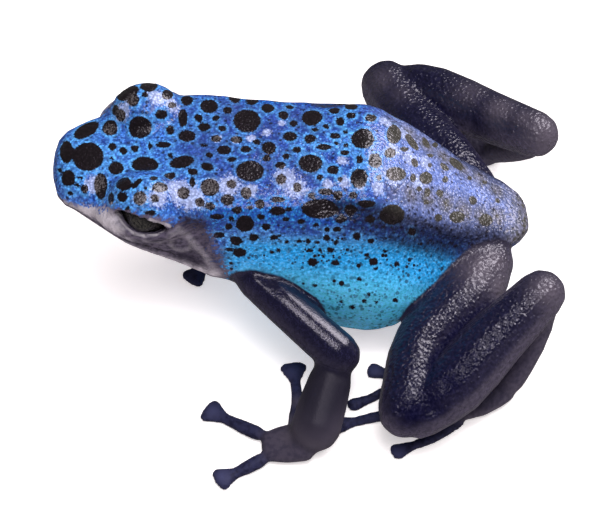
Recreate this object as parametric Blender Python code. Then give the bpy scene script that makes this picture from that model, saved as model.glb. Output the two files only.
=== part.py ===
"""Blue poison dart frog, life size, sitting on a flat floor with its left side to +X.

The animal faces -Y and stands on the floor at z = 0. Sizes are given in millimetres
and turned into metres by MM when a shape is made. Every sub-part is one closed body
in its own object, and neighbours keep a gap of GAP between their faces.
"""

import math

import bmesh
import bpy
from mathutils import Matrix, Vector

MM = 0.001

# Driving dimensions, in millimetres. SIDE_ROUNDING bulges the side between the ridge
# and the flank, and RING_SPACING and RINGS_PER_SPAN say how closely the trunk is drawn.
GAP = 0.3
NECK_Y = -7.8
SECTION_POINTS = 30
RING_SPACING = 0.9
RINGS_PER_SPAN = 2
SIDE_ROUNDING = 0.25

# Head and trunk, one row for each station along the body: its place along Y, the
# height of the midline of the back, then how far out and how high the ridge along
# the back, the widest part of the flank and the edge of the belly lie, the height of
# the midline of the belly, and how far the side is hollowed under the ridge.
BODY_STATIONS = (
    (-21.20, 14.6, 0.9, 14.4, 1.3, 13.7, 0.9, 13.0, 12.9, 0.0),
    (-20.85, 15.2, 1.9, 14.9, 2.7, 13.6, 1.9, 12.4, 12.2, 0.0),
    (-20.20, 15.6, 2.6, 15.2, 3.6, 13.5, 2.5, 12.2, 11.8, 0.0),
    (-19.30, 15.8, 3.2, 15.3, 4.1, 13.4, 2.9, 12.1, 11.6, 0.0),
    (-18.30, 15.9, 3.7, 15.4, 4.7, 13.2, 3.6, 11.9, 11.2, 0.0),
    (-17.00, 15.9, 4.3, 15.5, 5.4, 12.9, 4.3, 11.4, 10.6, 0.1),
    (-15.00, 15.9, 5.0, 15.7, 6.3, 12.5, 5.4, 10.7, 9.6, 0.2),
    (-13.00, 16.0, 5.5, 15.9, 6.8, 12.2, 5.9, 10.0, 8.8, 0.2),
    (-11.00, 16.2, 6.0, 16.0, 7.1, 11.8, 6.2, 9.2, 8.0, 0.2),
    (-9.00, 16.4, 6.1, 16.1, 7.3, 11.3, 6.5, 8.1, 6.9, 0.2),
    (-7.00, 16.6, 6.0, 16.1, 7.7, 10.7, 6.7, 7.4, 6.0, 0.2),
    (-4.00, 16.7, 5.8, 15.9, 8.3, 9.6, 6.6, 6.4, 5.1, 0.3),
    (-1.00, 16.8, 5.7, 15.7, 9.1, 8.6, 7.5, 4.9, 3.8, 0.5),
    (2.00, 16.8, 5.6, 15.7, 9.9, 8.0, 8.6, 3.7, 2.8, 0.6),
    (5.00, 16.9, 5.4, 15.9, 10.2, 7.7, 9.0, 3.4, 2.6, 0.7),
    (7.50, 15.8, 5.0, 14.8, 9.8, 7.5, 8.7, 3.7, 3.0, 0.8),
    (10.00, 13.9, 4.6, 13.0, 8.2, 7.4, 7.2, 4.4, 3.7, 0.8),
    (12.50, 12.0, 4.2, 11.0, 6.0, 7.3, 5.2, 5.0, 4.4, 0.6),
    (15.00, 10.2, 3.7, 9.4, 4.5, 7.1, 3.6, 5.4, 4.9, 0.3),
    (17.00, 8.9, 2.7, 8.4, 3.3, 6.9, 2.5, 5.5, 5.1, 0.1),
    (18.30, 8.2, 1.9, 7.9, 2.3, 6.9, 1.6, 5.9, 5.6, 0.0),
    (18.95, 7.5, 1.0, 7.3, 1.2, 6.9, 0.9, 6.4, 6.3, 0.0),
)
SNOUT_TIP = (-21.35, 13.7)
VENT_TIP = (19.15, 6.9)

# Eye: centre on the left side, then the radii of the eyeball and its socket, the
# bulge of the lids with the low swelling that leads up to it, and the almond opening
# between the lids, which looks out, a little forward and up, its rear corner lower.
EYE_CENTRE = (4.85, -13.2, 14.6)
EYEBALL_RADIUS = 1.95
SOCKET_RADIUS = EYEBALL_RADIUS + GAP
LID_CENTRE = (4.85, -13.5, 14.6)
LID_RADII = (3.0, 3.3, 3.1)
BROW_CENTRE = (4.5, -13.0, 14.2)
BROW_RADII = (3.3, 4.7, 2.3)
OPENING_HALF_WIDTH = 2.2
OPENING_HALF_HEIGHT = 0.86
OPENING_FORWARD_DEGREES = 12.0
OPENING_UP_DEGREES = 15.0
OPENING_ROLL_DEGREES = -16.0
OPENING_START = 0.4
OPENING_DEPTH = 4.0
OPENING_FLARE = 1.15

# Mouth, nostrils and eardrum. A section place says how far up the side a line lies,
# as body_section counts it, and the mouth rises a little towards the snout.
MOUTH_CORNER_Y = -10.9
MOUTH_FRONT_Y = -21.0
MOUTH_GROOVE_RADIUS = 0.17
MOUTH_SECTION_PLACE = 0.34
MOUTH_RISE = 0.04
MOUTH_POINTS = 12
NOSTRIL = (1.75, -20.35, 15.0)
NOSTRIL_RADIUS = 0.3
EARDRUM_Y = -10.4
EARDRUM_SECTION_PLACE = 0.47
EARDRUM_RADIUS = 0.85
EARDRUM_GROOVE_RADIUS = 0.16
EARDRUM_POINTS = 16
SECTION_STEP = 0.05

# Limb segments on the left and on the right: points along each segment's middle,
# from the body outwards, each with its half width and half height.
UPPER_ARM = {
    "left": (((5.6, -6.3, 9.3), 1.8, 1.8), ((9.9, -1.9, 7.9), 1.75, 1.75),
             ((13.6, 2.75, 5.9), 1.85, 1.85)),
    "right": (((-4.9, -6.3, 9.3), 1.8, 1.8), ((-8.5, -2.7, 7.7), 1.75, 1.75),
              ((-11.0, 0.6, 5.9), 1.9, 1.85)),
}
FOREARM = {
    "left": (((13.8, 2.5, 5.0), 1.65, 1.6), ((16.3, 1.6, 3.55), 2.0, 1.85),
             ((18.7, 0.8, 2.35), 2.15, 1.95)),
    "right": (((-10.9, 0.2, 5.1), 1.65, 1.6), ((-8.6, -2.4, 3.5), 2.0, 1.85),
              ((-6.5, -4.6, 2.35), 2.1, 1.95)),
}
HAND = {
    "left": (((19.1, 0.2, 1.15), 1.9, 1.1), ((19.2, -1.6, 0.85), 1.85, 0.85),
             ((19.3, -3.1, 0.62), 1.5, 0.64)),
    "right": (((-6.1, -5.0, 1.15), 1.6, 1.05), ((-4.6, -6.1, 0.8), 1.6, 0.8),
              ((-3.3, -6.9, 0.6), 1.35, 0.62)),
}
THIGH = {
    "left": (((3.6, 15.2, 6.3), 2.7, 2.5), ((7.6, 13.7, 6.0), 2.9, 2.45),
             ((12.2, 9.75, 5.5), 2.5, 2.35), ((15.6, 8.8, 5.1), 2.4, 2.35),
             ((18.6, 8.2, 4.7), 2.3, 2.25)),
    "right": (((-3.6, 14.5, 6.2), 2.4, 2.4), ((-8.0, 12.2, 6.1), 2.4, 2.3),
              ((-12.9, 9.0, 5.4), 2.45, 2.4), ((-16.8, 7.3, 5.0), 2.45, 2.45)),
}
SHANK = {
    "left": (((18.6, 9.2, 4.5), 2.3, 2.3), ((16.2, 12.3, 5.2), 2.8, 2.7),
             ((12.5, 15.95, 6.65), 2.55, 2.5), ((9.1, 19.7, 8.2), 2.15, 2.1)),
    "right": (((-16.9, 8.3, 4.9), 2.35, 2.35), ((-15.4, 11.6, 5.6), 2.5, 2.5),
              ((-12.2, 16.0, 6.4), 2.35, 2.35), ((-9.1, 20.1, 7.5), 2.1, 2.1)),
}
TARSUS = {
    "left": (((9.0, 20.1, 6.8), 1.4, 1.4), ((11.2, 18.9, 4.0), 1.3, 1.3),
             ((13.2, 17.2, 1.75), 1.35, 1.25)),
    "right": (((-9.0, 20.2, 6.7), 1.4, 1.4), ((-10.6, 18.9, 4.0), 1.3, 1.3),
              ((-12.2, 17.2, 1.75), 1.35, 1.25)),
}
FOOT = {
    "left": (((13.3, 16.9, 1.2), 1.5, 1.1), ((14.6, 14.4, 0.85), 1.75, 0.85),
             ((15.6, 11.6, 0.62), 1.35, 0.64)),
    "right": (((-12.3, 16.9, 1.2), 1.5, 1.1), ((-13.4, 14.4, 0.85), 1.75, 0.85),
              ((-14.2, 11.6, 0.62), 1.35, 0.64)),
}

# Digits: where each leaves the palm or sole, a point along it and its tip, on the
# floor, with the half width of its shaft and of the fan-shaped pad at its tip.
FINGERS = {
    "left": (
        ((18.0, 0.2), (16.9, 0.35), (14.7, 0.6), 0.5, 0.75),
        ((17.6, -1.1), (14.8, -0.7), (10.5, -1.1), 0.58, 1.25),
        ((18.4, -3.1), (17.2, -5.3), (15.2, -8.5), 0.62, 1.25),
        ((20.1, -3.0), (21.3, -4.9), (22.6, -7.5), 0.62, 1.15),
    ),
    "right": (
        ((-5.7, -4.1), (-4.8, -3.5), (-3.1, -2.2), 0.5, 0.75),
        ((-4.3, -4.7), (-2.2, -4.6), (1.4, -4.9), 0.58, 1.2),
        ((-3.2, -6.4), (-1.1, -8.0), (1.7, -10.2), 0.62, 1.2),
        ((-3.9, -7.9), (-3.0, -9.7), (-1.6, -11.9), 0.62, 1.1),
    ),
}
TOES = {
    "left": (
        ((13.2, 14.4), (12.3, 12.6), (11.4, 10.6), 0.45, 0.7),
        ((13.9, 12.7), (12.6, 9.6), (11.1, 5.3), 0.5, 0.8),
        ((14.7, 11.4), (13.3, 7.5), (15.0, 3.6), 0.5, 0.65),
        ((16.0, 11.3), (15.9, 7.2), (17.0, 2.2), 0.55, 0.95),
        ((16.6, 13.0), (18.3, 10.6), (19.8, 7.2), 0.5, 0.8),
    ),
    "right": (
        ((-11.9, 14.4), (-11.1, 12.6), (-10.3, 10.6), 0.45, 0.7),
        ((-12.5, 12.7), (-11.3, 9.6), (-10.2, 5.9), 0.5, 0.8),
        ((-13.3, 11.4), (-12.4, 7.6), (-12.2, 4.4), 0.5, 0.8),
        ((-14.6, 11.3), (-14.5, 7.0), (-14.1, 2.2), 0.5, 0.95),
        ((-15.3, 13.0), (-16.6, 10.6), (-17.6, 7.2), 0.5, 0.8),
    ),
}
DIGIT_HALF_HEIGHT = 0.5
ROOT_RISE = 0.1
ROOT_WIDENING = 1.1
NECK_NARROWING = 0.82
PAD_HALF_HEIGHT = 0.38
PAD_LENGTH = 1.9
PAD_SHARE_OF_TIP = 0.7
FLOOR_DIP = 0.1

# A pad's stations: how far back from the tip, as a share of the pad's length, how far
# it has fanned out from the neck to its full width, and its share of the thickness.
PAD_STATIONS = ((1.0, 0.0, 1.0), (0.62, 0.5, 1.0), (0.30, 1.0, 1.0), (0.14, 0.92, 0.9))

# Limb segments are drawn with this many sides, with a ring halfway along any span
# longer than LONG_SPAN, and end in domes whose rings stand at DOME_DEGREES.
LIMB_SIDES = 12
DIGIT_SIDES = 8
LONG_SPAN = 1.5
DOME_DEGREES = (65.0, 35.0)
ROUND = 2.0
FLATTENED = 2.4

# Skin colours: linear red, green and blue, then roughness
HEAD_BLUE = ((0.06, 0.20, 0.75), 0.45)
TRUNK_BLUE = ((0.04, 0.24, 0.78), 0.45)
LIMB_NAVY = ((0.012, 0.014, 0.05), 0.35)
DIGIT_NAVY = ((0.02, 0.028, 0.08), 0.5)
EYE_BLACK = ((0.006, 0.005, 0.005), 0.05)


def clear_scene():
    for obj in list(bpy.data.objects):
        bpy.data.objects.remove(obj, do_unlink=True)


def skin(name, colour_and_roughness):
    """A plain skin or eye finish."""
    colour, roughness = colour_and_roughness
    material = bpy.data.materials.new(name)
    material.use_nodes = True
    shader = material.node_tree.nodes["Principled BSDF"]
    shader.inputs["Base Color"].default_value = (*colour, 1.0)
    shader.inputs["Roughness"].default_value = roughness
    shader.inputs["Metallic"].default_value = 0.0
    return material


def hermite(rows, marks, at):
    """The row of values at a mark, on a smooth curve through the given rows."""
    last = len(rows) - 1
    span = 0
    while span < last - 1 and at > marks[span + 1]:
        span += 1
    low, high = marks[span], marks[span + 1]
    width = high - low
    part = (at - low) / width

    def slope(i, column):
        before, after = max(i - 1, 0), min(i + 1, last)
        return (rows[after][column] - rows[before][column]) / (marks[after] - marks[before])

    values = []
    for column in range(len(rows[0])):
        start, end = rows[span][column], rows[span + 1][column]
        start_slope, end_slope = slope(span, column) * width, slope(span + 1, column) * width
        values.append(
            (2 * part**3 - 3 * part**2 + 1) * start
            + (part**3 - 2 * part**2 + part) * start_slope
            + (3 * part**2 - 2 * part**3) * end
            + (part**3 - part**2) * end_slope
        )
    return values


def body_section(y, place):
    """Point (x, z) on the left half of the section at y: place 0 is the belly, 1 the back."""
    marks = [row[0] for row in BODY_STATIONS]
    row = hermite([station[1:] for station in BODY_STATIONS], marks, y)
    back, ridge_x, ridge_z, flank_x, flank_z, keel_x, keel_z, belly, hollow = row
    inwards = Vector((flank_z - ridge_z, ridge_x - flank_x)).normalized() * hollow
    side_x = (ridge_x + flank_x) / 2 + SIDE_ROUNDING + inwards.x
    side_z = (ridge_z + flank_z) / 2 + SIDE_ROUNDING + inwards.y
    corners = [
        (-keel_x, keel_z), (0.0, belly), (keel_x, keel_z), (flank_x, flank_z),
        (side_x, side_z), (ridge_x, ridge_z), (0.0, back), (-ridge_x, ridge_z),
    ]
    span = min(int(place * 5), 4)
    part = place * 5 - span
    before, start, end, after = corners[span:span + 4]
    point = []
    for axis in range(2):
        a, b, c, d = before[axis], start[axis], end[axis], after[axis]
        point.append(0.5 * (2 * b + (c - a) * part + (2 * a - 5 * b + 4 * c - d) * part**2
                            + (3 * b - a - 3 * c + d) * part**3))
    return point


def body_outline(y, grow):
    """The section's closed outline at y, moved outwards by grow."""
    half = SECTION_POINTS // 2
    left = [body_section(y, i / half) for i in range(half + 1)]
    outline = left + [(-x, z) for x, z in reversed(left[1:-1])]
    count = len(outline)
    grown = []
    for i, (x, z) in enumerate(outline):
        before, after = outline[i - 1], outline[(i + 1) % count]
        along = Vector((after[0] - before[0], after[1] - before[1])).normalized()
        grown.append((x + along.y * grow, z - along.x * grow))
    return grown


def ring(bm, points):
    """A closed ring of edges through the points."""
    made = bmesh.ops.create_circle(bm, cap_ends=False, segments=len(points), radius=1.0)
    for vert, point in zip(made["verts"], points):
        vert.co = point
    return list({edge for vert in made["verts"] for edge in vert.link_edges})


def skin_over(bm, rings, start_tip, end_tip):
    """Joins rings into one closed skin, with a raised point at each end."""
    loops = [ring(bm, points) for points in rings]
    for first, second in zip(loops, loops[1:]):
        bmesh.ops.bridge_loops(bm, edges=first + second)
    for loop, tip in ((loops[0], start_tip), (loops[-1], end_tip)):
        cap = bmesh.ops.edgeloop_fill(bm, edges=loop)["faces"]
        centre = bmesh.ops.poke(bm, faces=cap)["verts"][0]
        centre.co = tip
    bmesh.ops.recalc_face_normals(bm, faces=bm.faces)


def mesh_object(name, bm):
    """A new object from a bmesh in millimetres."""
    bmesh.ops.scale(bm, vec=(MM, MM, MM), verts=bm.verts)
    mesh = bpy.data.meshes.new(name)
    bm.to_mesh(mesh)
    bm.free()
    obj = bpy.data.objects.new(name, mesh)
    bpy.context.scene.collection.objects.link(obj)
    return obj


def whole_body(name, grow=0.0):
    """Head and trunk in one piece."""
    rows = []
    marks = [row[0] for row in BODY_STATIONS]
    for low, high in zip(marks, marks[1:]):
        steps = max(1, min(RINGS_PER_SPAN, round((high - low) / RING_SPACING)))
        rows += [low + (high - low) * i / steps for i in range(steps)]
    rows.append(marks[-1])
    rings = [[(x, y, z) for x, z in body_outline(y, grow)] for y in rows]
    bm = bmesh.new()
    skin_over(
        bm, rings,
        (0.0, SNOUT_TIP[0] - grow, SNOUT_TIP[1]),
        (0.0, VENT_TIP[0] + grow, VENT_TIP[1]),
    )
    return mesh_object(name, bm)


def limb(name, stations, sides, grow=0.0, squareness=ROUND):
    """A rounded limb segment along its stations, domed at both ends."""
    centres = [Vector(point) for point, _, _ in stations]
    marks = [0.0]
    for first, second in zip(centres, centres[1:]):
        marks.append(marks[-1] + (second - first).length)
    rows = [(*point, half_width, half_height) for point, half_width, half_height in stations]
    places = []
    for low, high in zip(marks, marks[1:]):
        steps = 2 if high - low > LONG_SPAN else 1
        places += [low + (high - low) * i / steps for i in range(steps)]
    places.append(marks[-1])
    samples = [hermite(rows, marks, place) for place in places]
    middles = [Vector(sample[:3]) for sample in samples]
    rings = []

    def add_ring(middle, along, half_width, half_height):
        side = along.cross(Vector((0.0, 0.0, 1.0))).normalized()
        up = side.cross(along).normalized()
        points = []
        for i in range(sides):
            turn = 2 * math.pi * i / sides
            across = math.copysign(abs(math.cos(turn)) ** (2 / squareness), math.cos(turn))
            upwards = math.copysign(abs(math.sin(turn)) ** (2 / squareness), math.sin(turn))
            points.append(middle + side * across * half_width + up * upwards * half_height)
        rings.append(points)

    start_along = (middles[1] - middles[0]).normalized()
    end_along = (middles[-1] - middles[-2]).normalized()
    start_width, start_height = samples[0][3] + grow, samples[0][4] + grow
    end_width, end_height = samples[-1][3] + grow, samples[-1][4] + grow
    start_dome, end_dome = min(start_width, start_height), min(end_width, end_height)
    for turn in DOME_DEGREES:
        part = math.radians(turn)
        add_ring(middles[0] - start_along * start_dome * math.sin(part), start_along,
                 start_width * math.cos(part), start_height * math.cos(part))
    for i, sample in enumerate(samples):
        before, after = middles[max(i - 1, 0)], middles[min(i + 1, len(middles) - 1)]
        add_ring(middles[i], (after - before).normalized(), sample[3] + grow, sample[4] + grow)
    for turn in reversed(DOME_DEGREES):
        part = math.radians(turn)
        add_ring(middles[-1] + end_along * end_dome * math.sin(part), end_along,
                 end_width * math.cos(part), end_height * math.cos(part))
    bm = bmesh.new()
    skin_over(bm, rings, middles[0] - start_along * start_dome, middles[-1] + end_along * end_dome)
    return mesh_object(name, bm)


def digit_stations(root, bend, tip, shaft, pad):
    """Stations of one finger or toe: a slim shaft that fans out into its pad."""
    root, bend, tip = Vector(root), Vector(bend), Vector(tip)
    outwards = (tip - bend).normalized()
    low = DIGIT_HALF_HEIGHT - FLOOR_DIP
    pad_low = PAD_HALF_HEIGHT - FLOOR_DIP
    pad_length = min(PAD_LENGTH, PAD_SHARE_OF_TIP * (tip - bend).length)
    neck = shaft * NECK_NARROWING
    stations = [
        ((*root, low + ROOT_RISE), shaft * ROOT_WIDENING, DIGIT_HALF_HEIGHT),
        ((*bend, low), shaft, DIGIT_HALF_HEIGHT),
    ]
    for back, fanned, thickness in PAD_STATIONS:
        place = tip - outwards * pad_length * back
        stations.append(
            ((*place, pad_low), neck + (pad - neck) * fanned, PAD_HALF_HEIGHT * thickness)
        )
    return stations


def cut(obj, cutter):
    """Takes the cutter's shape away from the object, then removes the cutter."""
    cutter.hide_render = True
    cutter.display_type = "WIRE"
    modifier = obj.modifiers.new("cut", "BOOLEAN")
    modifier.operation = "DIFFERENCE"
    modifier.solver = "EXACT"
    modifier.object = cutter
    apply_modifiers(obj)
    bpy.data.objects.remove(cutter, do_unlink=True)


def apply_modifiers(obj):
    graph = bpy.context.evaluated_depsgraph_get()
    mesh = bpy.data.meshes.new_from_object(obj.evaluated_get(graph))
    obj.modifiers.clear()
    obj.data = mesh


def keep_largest(obj):
    """Drops loose scraps that a cut has left, and keeps the largest closed surface."""
    bm = bmesh.new()
    bm.from_mesh(obj.data)
    unseen = set(bm.verts)
    shells = []
    while unseen:
        shell, front = set(), [unseen.pop()]
        while front:
            vert = front.pop()
            shell.add(vert)
            for edge in vert.link_edges:
                other = edge.other_vert(vert)
                if other in unseen:
                    unseen.remove(other)
                    front.append(other)
        shells.append(shell)
    shells.sort(key=len)
    for shell in shells[:-1]:
        bmesh.ops.delete(bm, geom=list(shell), context="VERTS")
    bm.to_mesh(obj.data)
    bm.free()


def stand_on_floor(obj):
    """Slices off what dips below the floor, which leaves a small flat at z = 0."""
    bm = bmesh.new()
    bm.from_mesh(obj.data)
    geometry = bm.verts[:] + bm.edges[:] + bm.faces[:]
    sliced = bmesh.ops.bisect_plane(
        bm, geom=geometry, dist=1e-7, plane_co=(0, 0, 0), plane_no=(0, 0, -1), clear_outer=True
    )
    edges = [item for item in sliced["geom_cut"] if isinstance(item, bmesh.types.BMEdge)]
    if edges:
        bmesh.ops.edgeloop_fill(bm, edges=edges)
        bmesh.ops.recalc_face_normals(bm, faces=bm.faces)
    bm.to_mesh(obj.data)
    bm.free()


def finish(obj, material):
    """Keeps one body, smooths its shading and gives it its skin."""
    keep_largest(obj)
    obj.data.materials.clear()
    obj.data.materials.append(material)
    obj.data.shade_smooth()
    obj.data.set_sharp_from_angle(angle=math.radians(40))


def ball(name, centre, radii, segments=20, rings=14):
    """A ball, or an egg shape, from its three half sizes."""
    bm = bmesh.new()
    bmesh.ops.create_uvsphere(bm, u_segments=segments, v_segments=rings, radius=1.0)
    bmesh.ops.scale(bm, vec=radii, verts=bm.verts)
    bmesh.ops.translate(bm, vec=centre, verts=bm.verts)
    return mesh_object(name, bm)


def cord_cutter(name, points, radius, closed):
    """A thin round tube through the points, to cut a groove with."""
    curve = bpy.data.curves.new(name, "CURVE")
    curve.dimensions = "3D"
    curve.bevel_depth = radius * MM
    curve.bevel_resolution = 1
    curve.use_fill_caps = True
    spline = curve.splines.new("POLY")
    spline.points.add(len(points) - 1)
    spline.use_cyclic_u = closed
    for point, place in zip(spline.points, points):
        point.co = (place[0] * MM, place[1] * MM, place[2] * MM, 1.0)
    tube = bpy.data.objects.new(name, curve)
    bpy.context.scene.collection.objects.link(tube)
    graph = bpy.context.evaluated_depsgraph_get()
    mesh = bpy.data.meshes.new_from_object(tube.evaluated_get(graph))
    bpy.data.objects.remove(tube, do_unlink=True)
    bm = bmesh.new()
    bm.from_mesh(mesh)
    bmesh.ops.remove_doubles(bm, verts=bm.verts, dist=1e-7)
    bmesh.ops.recalc_face_normals(bm, faces=bm.faces)
    bm.to_mesh(mesh)
    bm.free()
    obj = bpy.data.objects.new(name, mesh)
    bpy.context.scene.collection.objects.link(obj)
    return obj


def union(obj, others):
    """Fuses closed bodies into the object."""
    pieces = bpy.data.collections.new("pieces")
    bpy.context.scene.collection.children.link(pieces)
    for other in others:
        bpy.context.scene.collection.objects.unlink(other)
        pieces.objects.link(other)
    modifier = obj.modifiers.new("fuse", "BOOLEAN")
    modifier.operation = "UNION"
    modifier.solver = "EXACT"
    modifier.operand_type = "COLLECTION"
    modifier.collection = pieces
    apply_modifiers(obj)
    for other in others:
        bpy.data.objects.remove(other, do_unlink=True)
    bpy.data.collections.remove(pieces)


def slab_cutter(y_low, y_high):
    """A block across the whole body between two places along Y."""
    bm = bmesh.new()
    bmesh.ops.create_cube(bm, size=1.0)
    bmesh.ops.scale(bm, vec=(40.0, y_high - y_low, 40.0), verts=bm.verts)
    bmesh.ops.translate(bm, vec=(0.0, (y_low + y_high) / 2, 10.0), verts=bm.verts)
    return mesh_object("slab", bm)


def eye_opening(sign):
    """The almond-shaped plug that opens the lids on one side."""
    bm = bmesh.new()
    bmesh.ops.create_cone(bm, cap_ends=True, segments=24, radius1=1.0, radius2=OPENING_FLARE,
                          depth=OPENING_DEPTH)
    start = OPENING_START + OPENING_DEPTH / 2
    bmesh.ops.translate(bm, vec=(0.0, 0.0, start), verts=bm.verts)
    bmesh.ops.scale(bm, vec=(OPENING_HALF_HEIGHT, OPENING_HALF_WIDTH, 1.0), verts=bm.verts)
    bmesh.ops.rotate(bm, matrix=Matrix.Rotation(math.radians(OPENING_ROLL_DEGREES), 3, "Z"),
                     verts=bm.verts)
    bmesh.ops.rotate(bm, matrix=Matrix.Rotation(math.radians(90 - OPENING_UP_DEGREES), 3, "Y"),
                     verts=bm.verts)
    bmesh.ops.rotate(bm, matrix=Matrix.Rotation(-math.radians(OPENING_FORWARD_DEGREES), 3, "Z"),
                     verts=bm.verts)
    bmesh.ops.translate(bm, vec=EYE_CENTRE, verts=bm.verts)
    if sign < 0:
        bmesh.ops.scale(bm, vec=(-1.0, 1.0, 1.0), verts=bm.verts)
        bmesh.ops.reverse_faces(bm, faces=bm.faces)
    return mesh_object("opening", bm)


def mouth_points():
    """The line of the mouth, from one corner round the snout to the other."""
    left = []
    for i in range(MOUTH_POINTS):
        part = i / (MOUTH_POINTS - 1)
        y = MOUTH_CORNER_Y + (MOUTH_FRONT_Y - MOUTH_CORNER_Y) * math.sin(math.pi / 2 * part)
        x, z = body_section(y, MOUTH_SECTION_PLACE + MOUTH_RISE * part)
        left.append((x, y, z))
    snout = (0.0, SNOUT_TIP[0], left[-1][2])
    return left + [snout] + [(-x, y, z) for x, y, z in reversed(left)]


def eardrum_points(sign):
    """A ring on the side of the head behind the eye."""
    x, z = body_section(EARDRUM_Y, EARDRUM_SECTION_PLACE)
    x_low, z_low = body_section(EARDRUM_Y, EARDRUM_SECTION_PLACE - SECTION_STEP)
    upwards = Vector((x - x_low, 0.0, z - z_low)).normalized()
    points = []
    for i in range(EARDRUM_POINTS):
        turn = 2 * math.pi * i / EARDRUM_POINTS
        point = Vector((x, EARDRUM_Y, z)) + upwards * EARDRUM_RADIUS * math.sin(turn)
        point += Vector((0.0, 1.0, 0.0)) * EARDRUM_RADIUS * math.cos(turn)
        points.append((sign * point.x, point.y, point.z))
    return points


def make_head(material):
    head = whole_body("head")
    cut(head, slab_cutter(NECK_Y - GAP / 2, 40.0))
    sides = (1, -1)
    centres = [(sign * EYE_CENTRE[0], EYE_CENTRE[1], EYE_CENTRE[2]) for sign in sides]
    bulges = ((BROW_CENTRE, BROW_RADII), (LID_CENTRE, LID_RADII))
    union(head, [ball(f"bulge_{i}_{sign}", (sign * centre[0], *centre[1:]), radii)
                 for i, (centre, radii) in enumerate(bulges) for sign in sides])
    for sign, centre in zip(sides, centres):
        cut(head, ball("socket", centre, (SOCKET_RADIUS,) * 3))
        cut(head, eye_opening(sign))
        nostril = (sign * NOSTRIL[0], NOSTRIL[1], NOSTRIL[2])
        cut(head, ball("nostril", nostril, (NOSTRIL_RADIUS,) * 3, 10, 8))
        cut(head, cord_cutter("eardrum", eardrum_points(sign), EARDRUM_GROOVE_RADIUS, True))
    cut(head, cord_cutter("mouth", mouth_points(), MOUTH_GROOVE_RADIUS, False))
    finish(head, material)


def make_torso(material):
    torso = whole_body("torso")
    cut(torso, slab_cutter(-40.0, NECK_Y + GAP / 2))
    finish(torso, material)


def make_eyes(material):
    for side, sign in (("left", 1), ("right", -1)):
        centre = (sign * EYE_CENTRE[0], EYE_CENTRE[1], EYE_CENTRE[2])
        finish(ball(f"eye_{side}", centre, (EYEBALL_RADIUS,) * 3, 20, 12), material)


def clearance(neighbour):
    """The body, or a limb segment, grown by the gap, which keeps the next segment off it."""
    if neighbour is BODY_STATIONS:
        return whole_body("clearance", GAP)
    stations, squareness = neighbour
    return limb("clearance", stations, LIMB_SIDES, GAP, squareness)


def make_segment(name, stations, neighbours, material, sides=LIMB_SIDES, squareness=ROUND,
                 on_floor=False):
    """One limb segment, cut clear of each neighbour."""
    obj = limb(name, stations, sides, squareness=squareness)
    for neighbour in neighbours:
        cut(obj, clearance(neighbour))
    if on_floor:
        stand_on_floor(obj)
    finish(obj, material)


def make_limbs(side, limb_material, digit_material):
    """The fore limb and the hind limb of one side, from the trunk out to the digits."""
    upper_arm = (UPPER_ARM[side], ROUND)
    forearm = (FOREARM[side], ROUND)
    hand = (HAND[side], FLATTENED)
    thigh = (THIGH[side], ROUND)
    shank = (SHANK[side], ROUND)
    tarsus = (TARSUS[side], ROUND)
    foot = (FOOT[side], FLATTENED)
    make_segment(f"upper_arm_{side}", UPPER_ARM[side], [BODY_STATIONS], limb_material)
    make_segment(f"forearm_{side}", FOREARM[side], [upper_arm, BODY_STATIONS], limb_material)
    make_segment(f"hand_{side}", HAND[side], [forearm], digit_material,
                 squareness=FLATTENED, on_floor=True)
    make_segment(f"thigh_{side}", THIGH[side], [BODY_STATIONS], limb_material)
    make_segment(f"shank_{side}", SHANK[side], [thigh, BODY_STATIONS], limb_material)
    make_segment(f"tarsus_{side}", TARSUS[side], [shank, thigh], limb_material)
    make_segment(f"foot_{side}", FOOT[side], [tarsus, shank], digit_material,
                 squareness=FLATTENED, on_floor=True)
    for digit, specs, neighbours in (("finger", FINGERS, [hand, forearm]), ("toe", TOES, [foot])):
        for number, spec in enumerate(specs[side], 1):
            make_segment(f"{digit}_{number}_{side}", digit_stations(*spec), neighbours,
                         digit_material, DIGIT_SIDES, FLATTENED, on_floor=True)


def centre_on_floor():
    """Moves the whole animal so that the middle of its box stands at the origin."""
    objects = [obj for obj in bpy.context.scene.objects if obj.type == "MESH"]
    points = [vert.co for obj in objects for vert in obj.data.vertices]
    low_x, high_x = min(p.x for p in points), max(p.x for p in points)
    low_y, high_y = min(p.y for p in points), max(p.y for p in points)
    move = Matrix.Translation((-(low_x + high_x) / 2, -(low_y + high_y) / 2, 0.0))
    for obj in objects:
        obj.data.transform(move)


clear_scene()
make_head(skin("head skin", HEAD_BLUE))
make_torso(skin("trunk skin", TRUNK_BLUE))
make_eyes(skin("eye", EYE_BLACK))
limb_skin = skin("limb skin", LIMB_NAVY)
digit_skin = skin("digit skin", DIGIT_NAVY)
make_limbs("left", limb_skin, digit_skin)
make_limbs("right", limb_skin, digit_skin)
centre_on_floor()
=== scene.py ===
"""Blue poison dart frog sitting still: skin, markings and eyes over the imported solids."""

import math

import bmesh
import bpy
import numpy as np
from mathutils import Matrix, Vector, noise as wave
from mathutils.bvhtree import BVHTree


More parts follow.
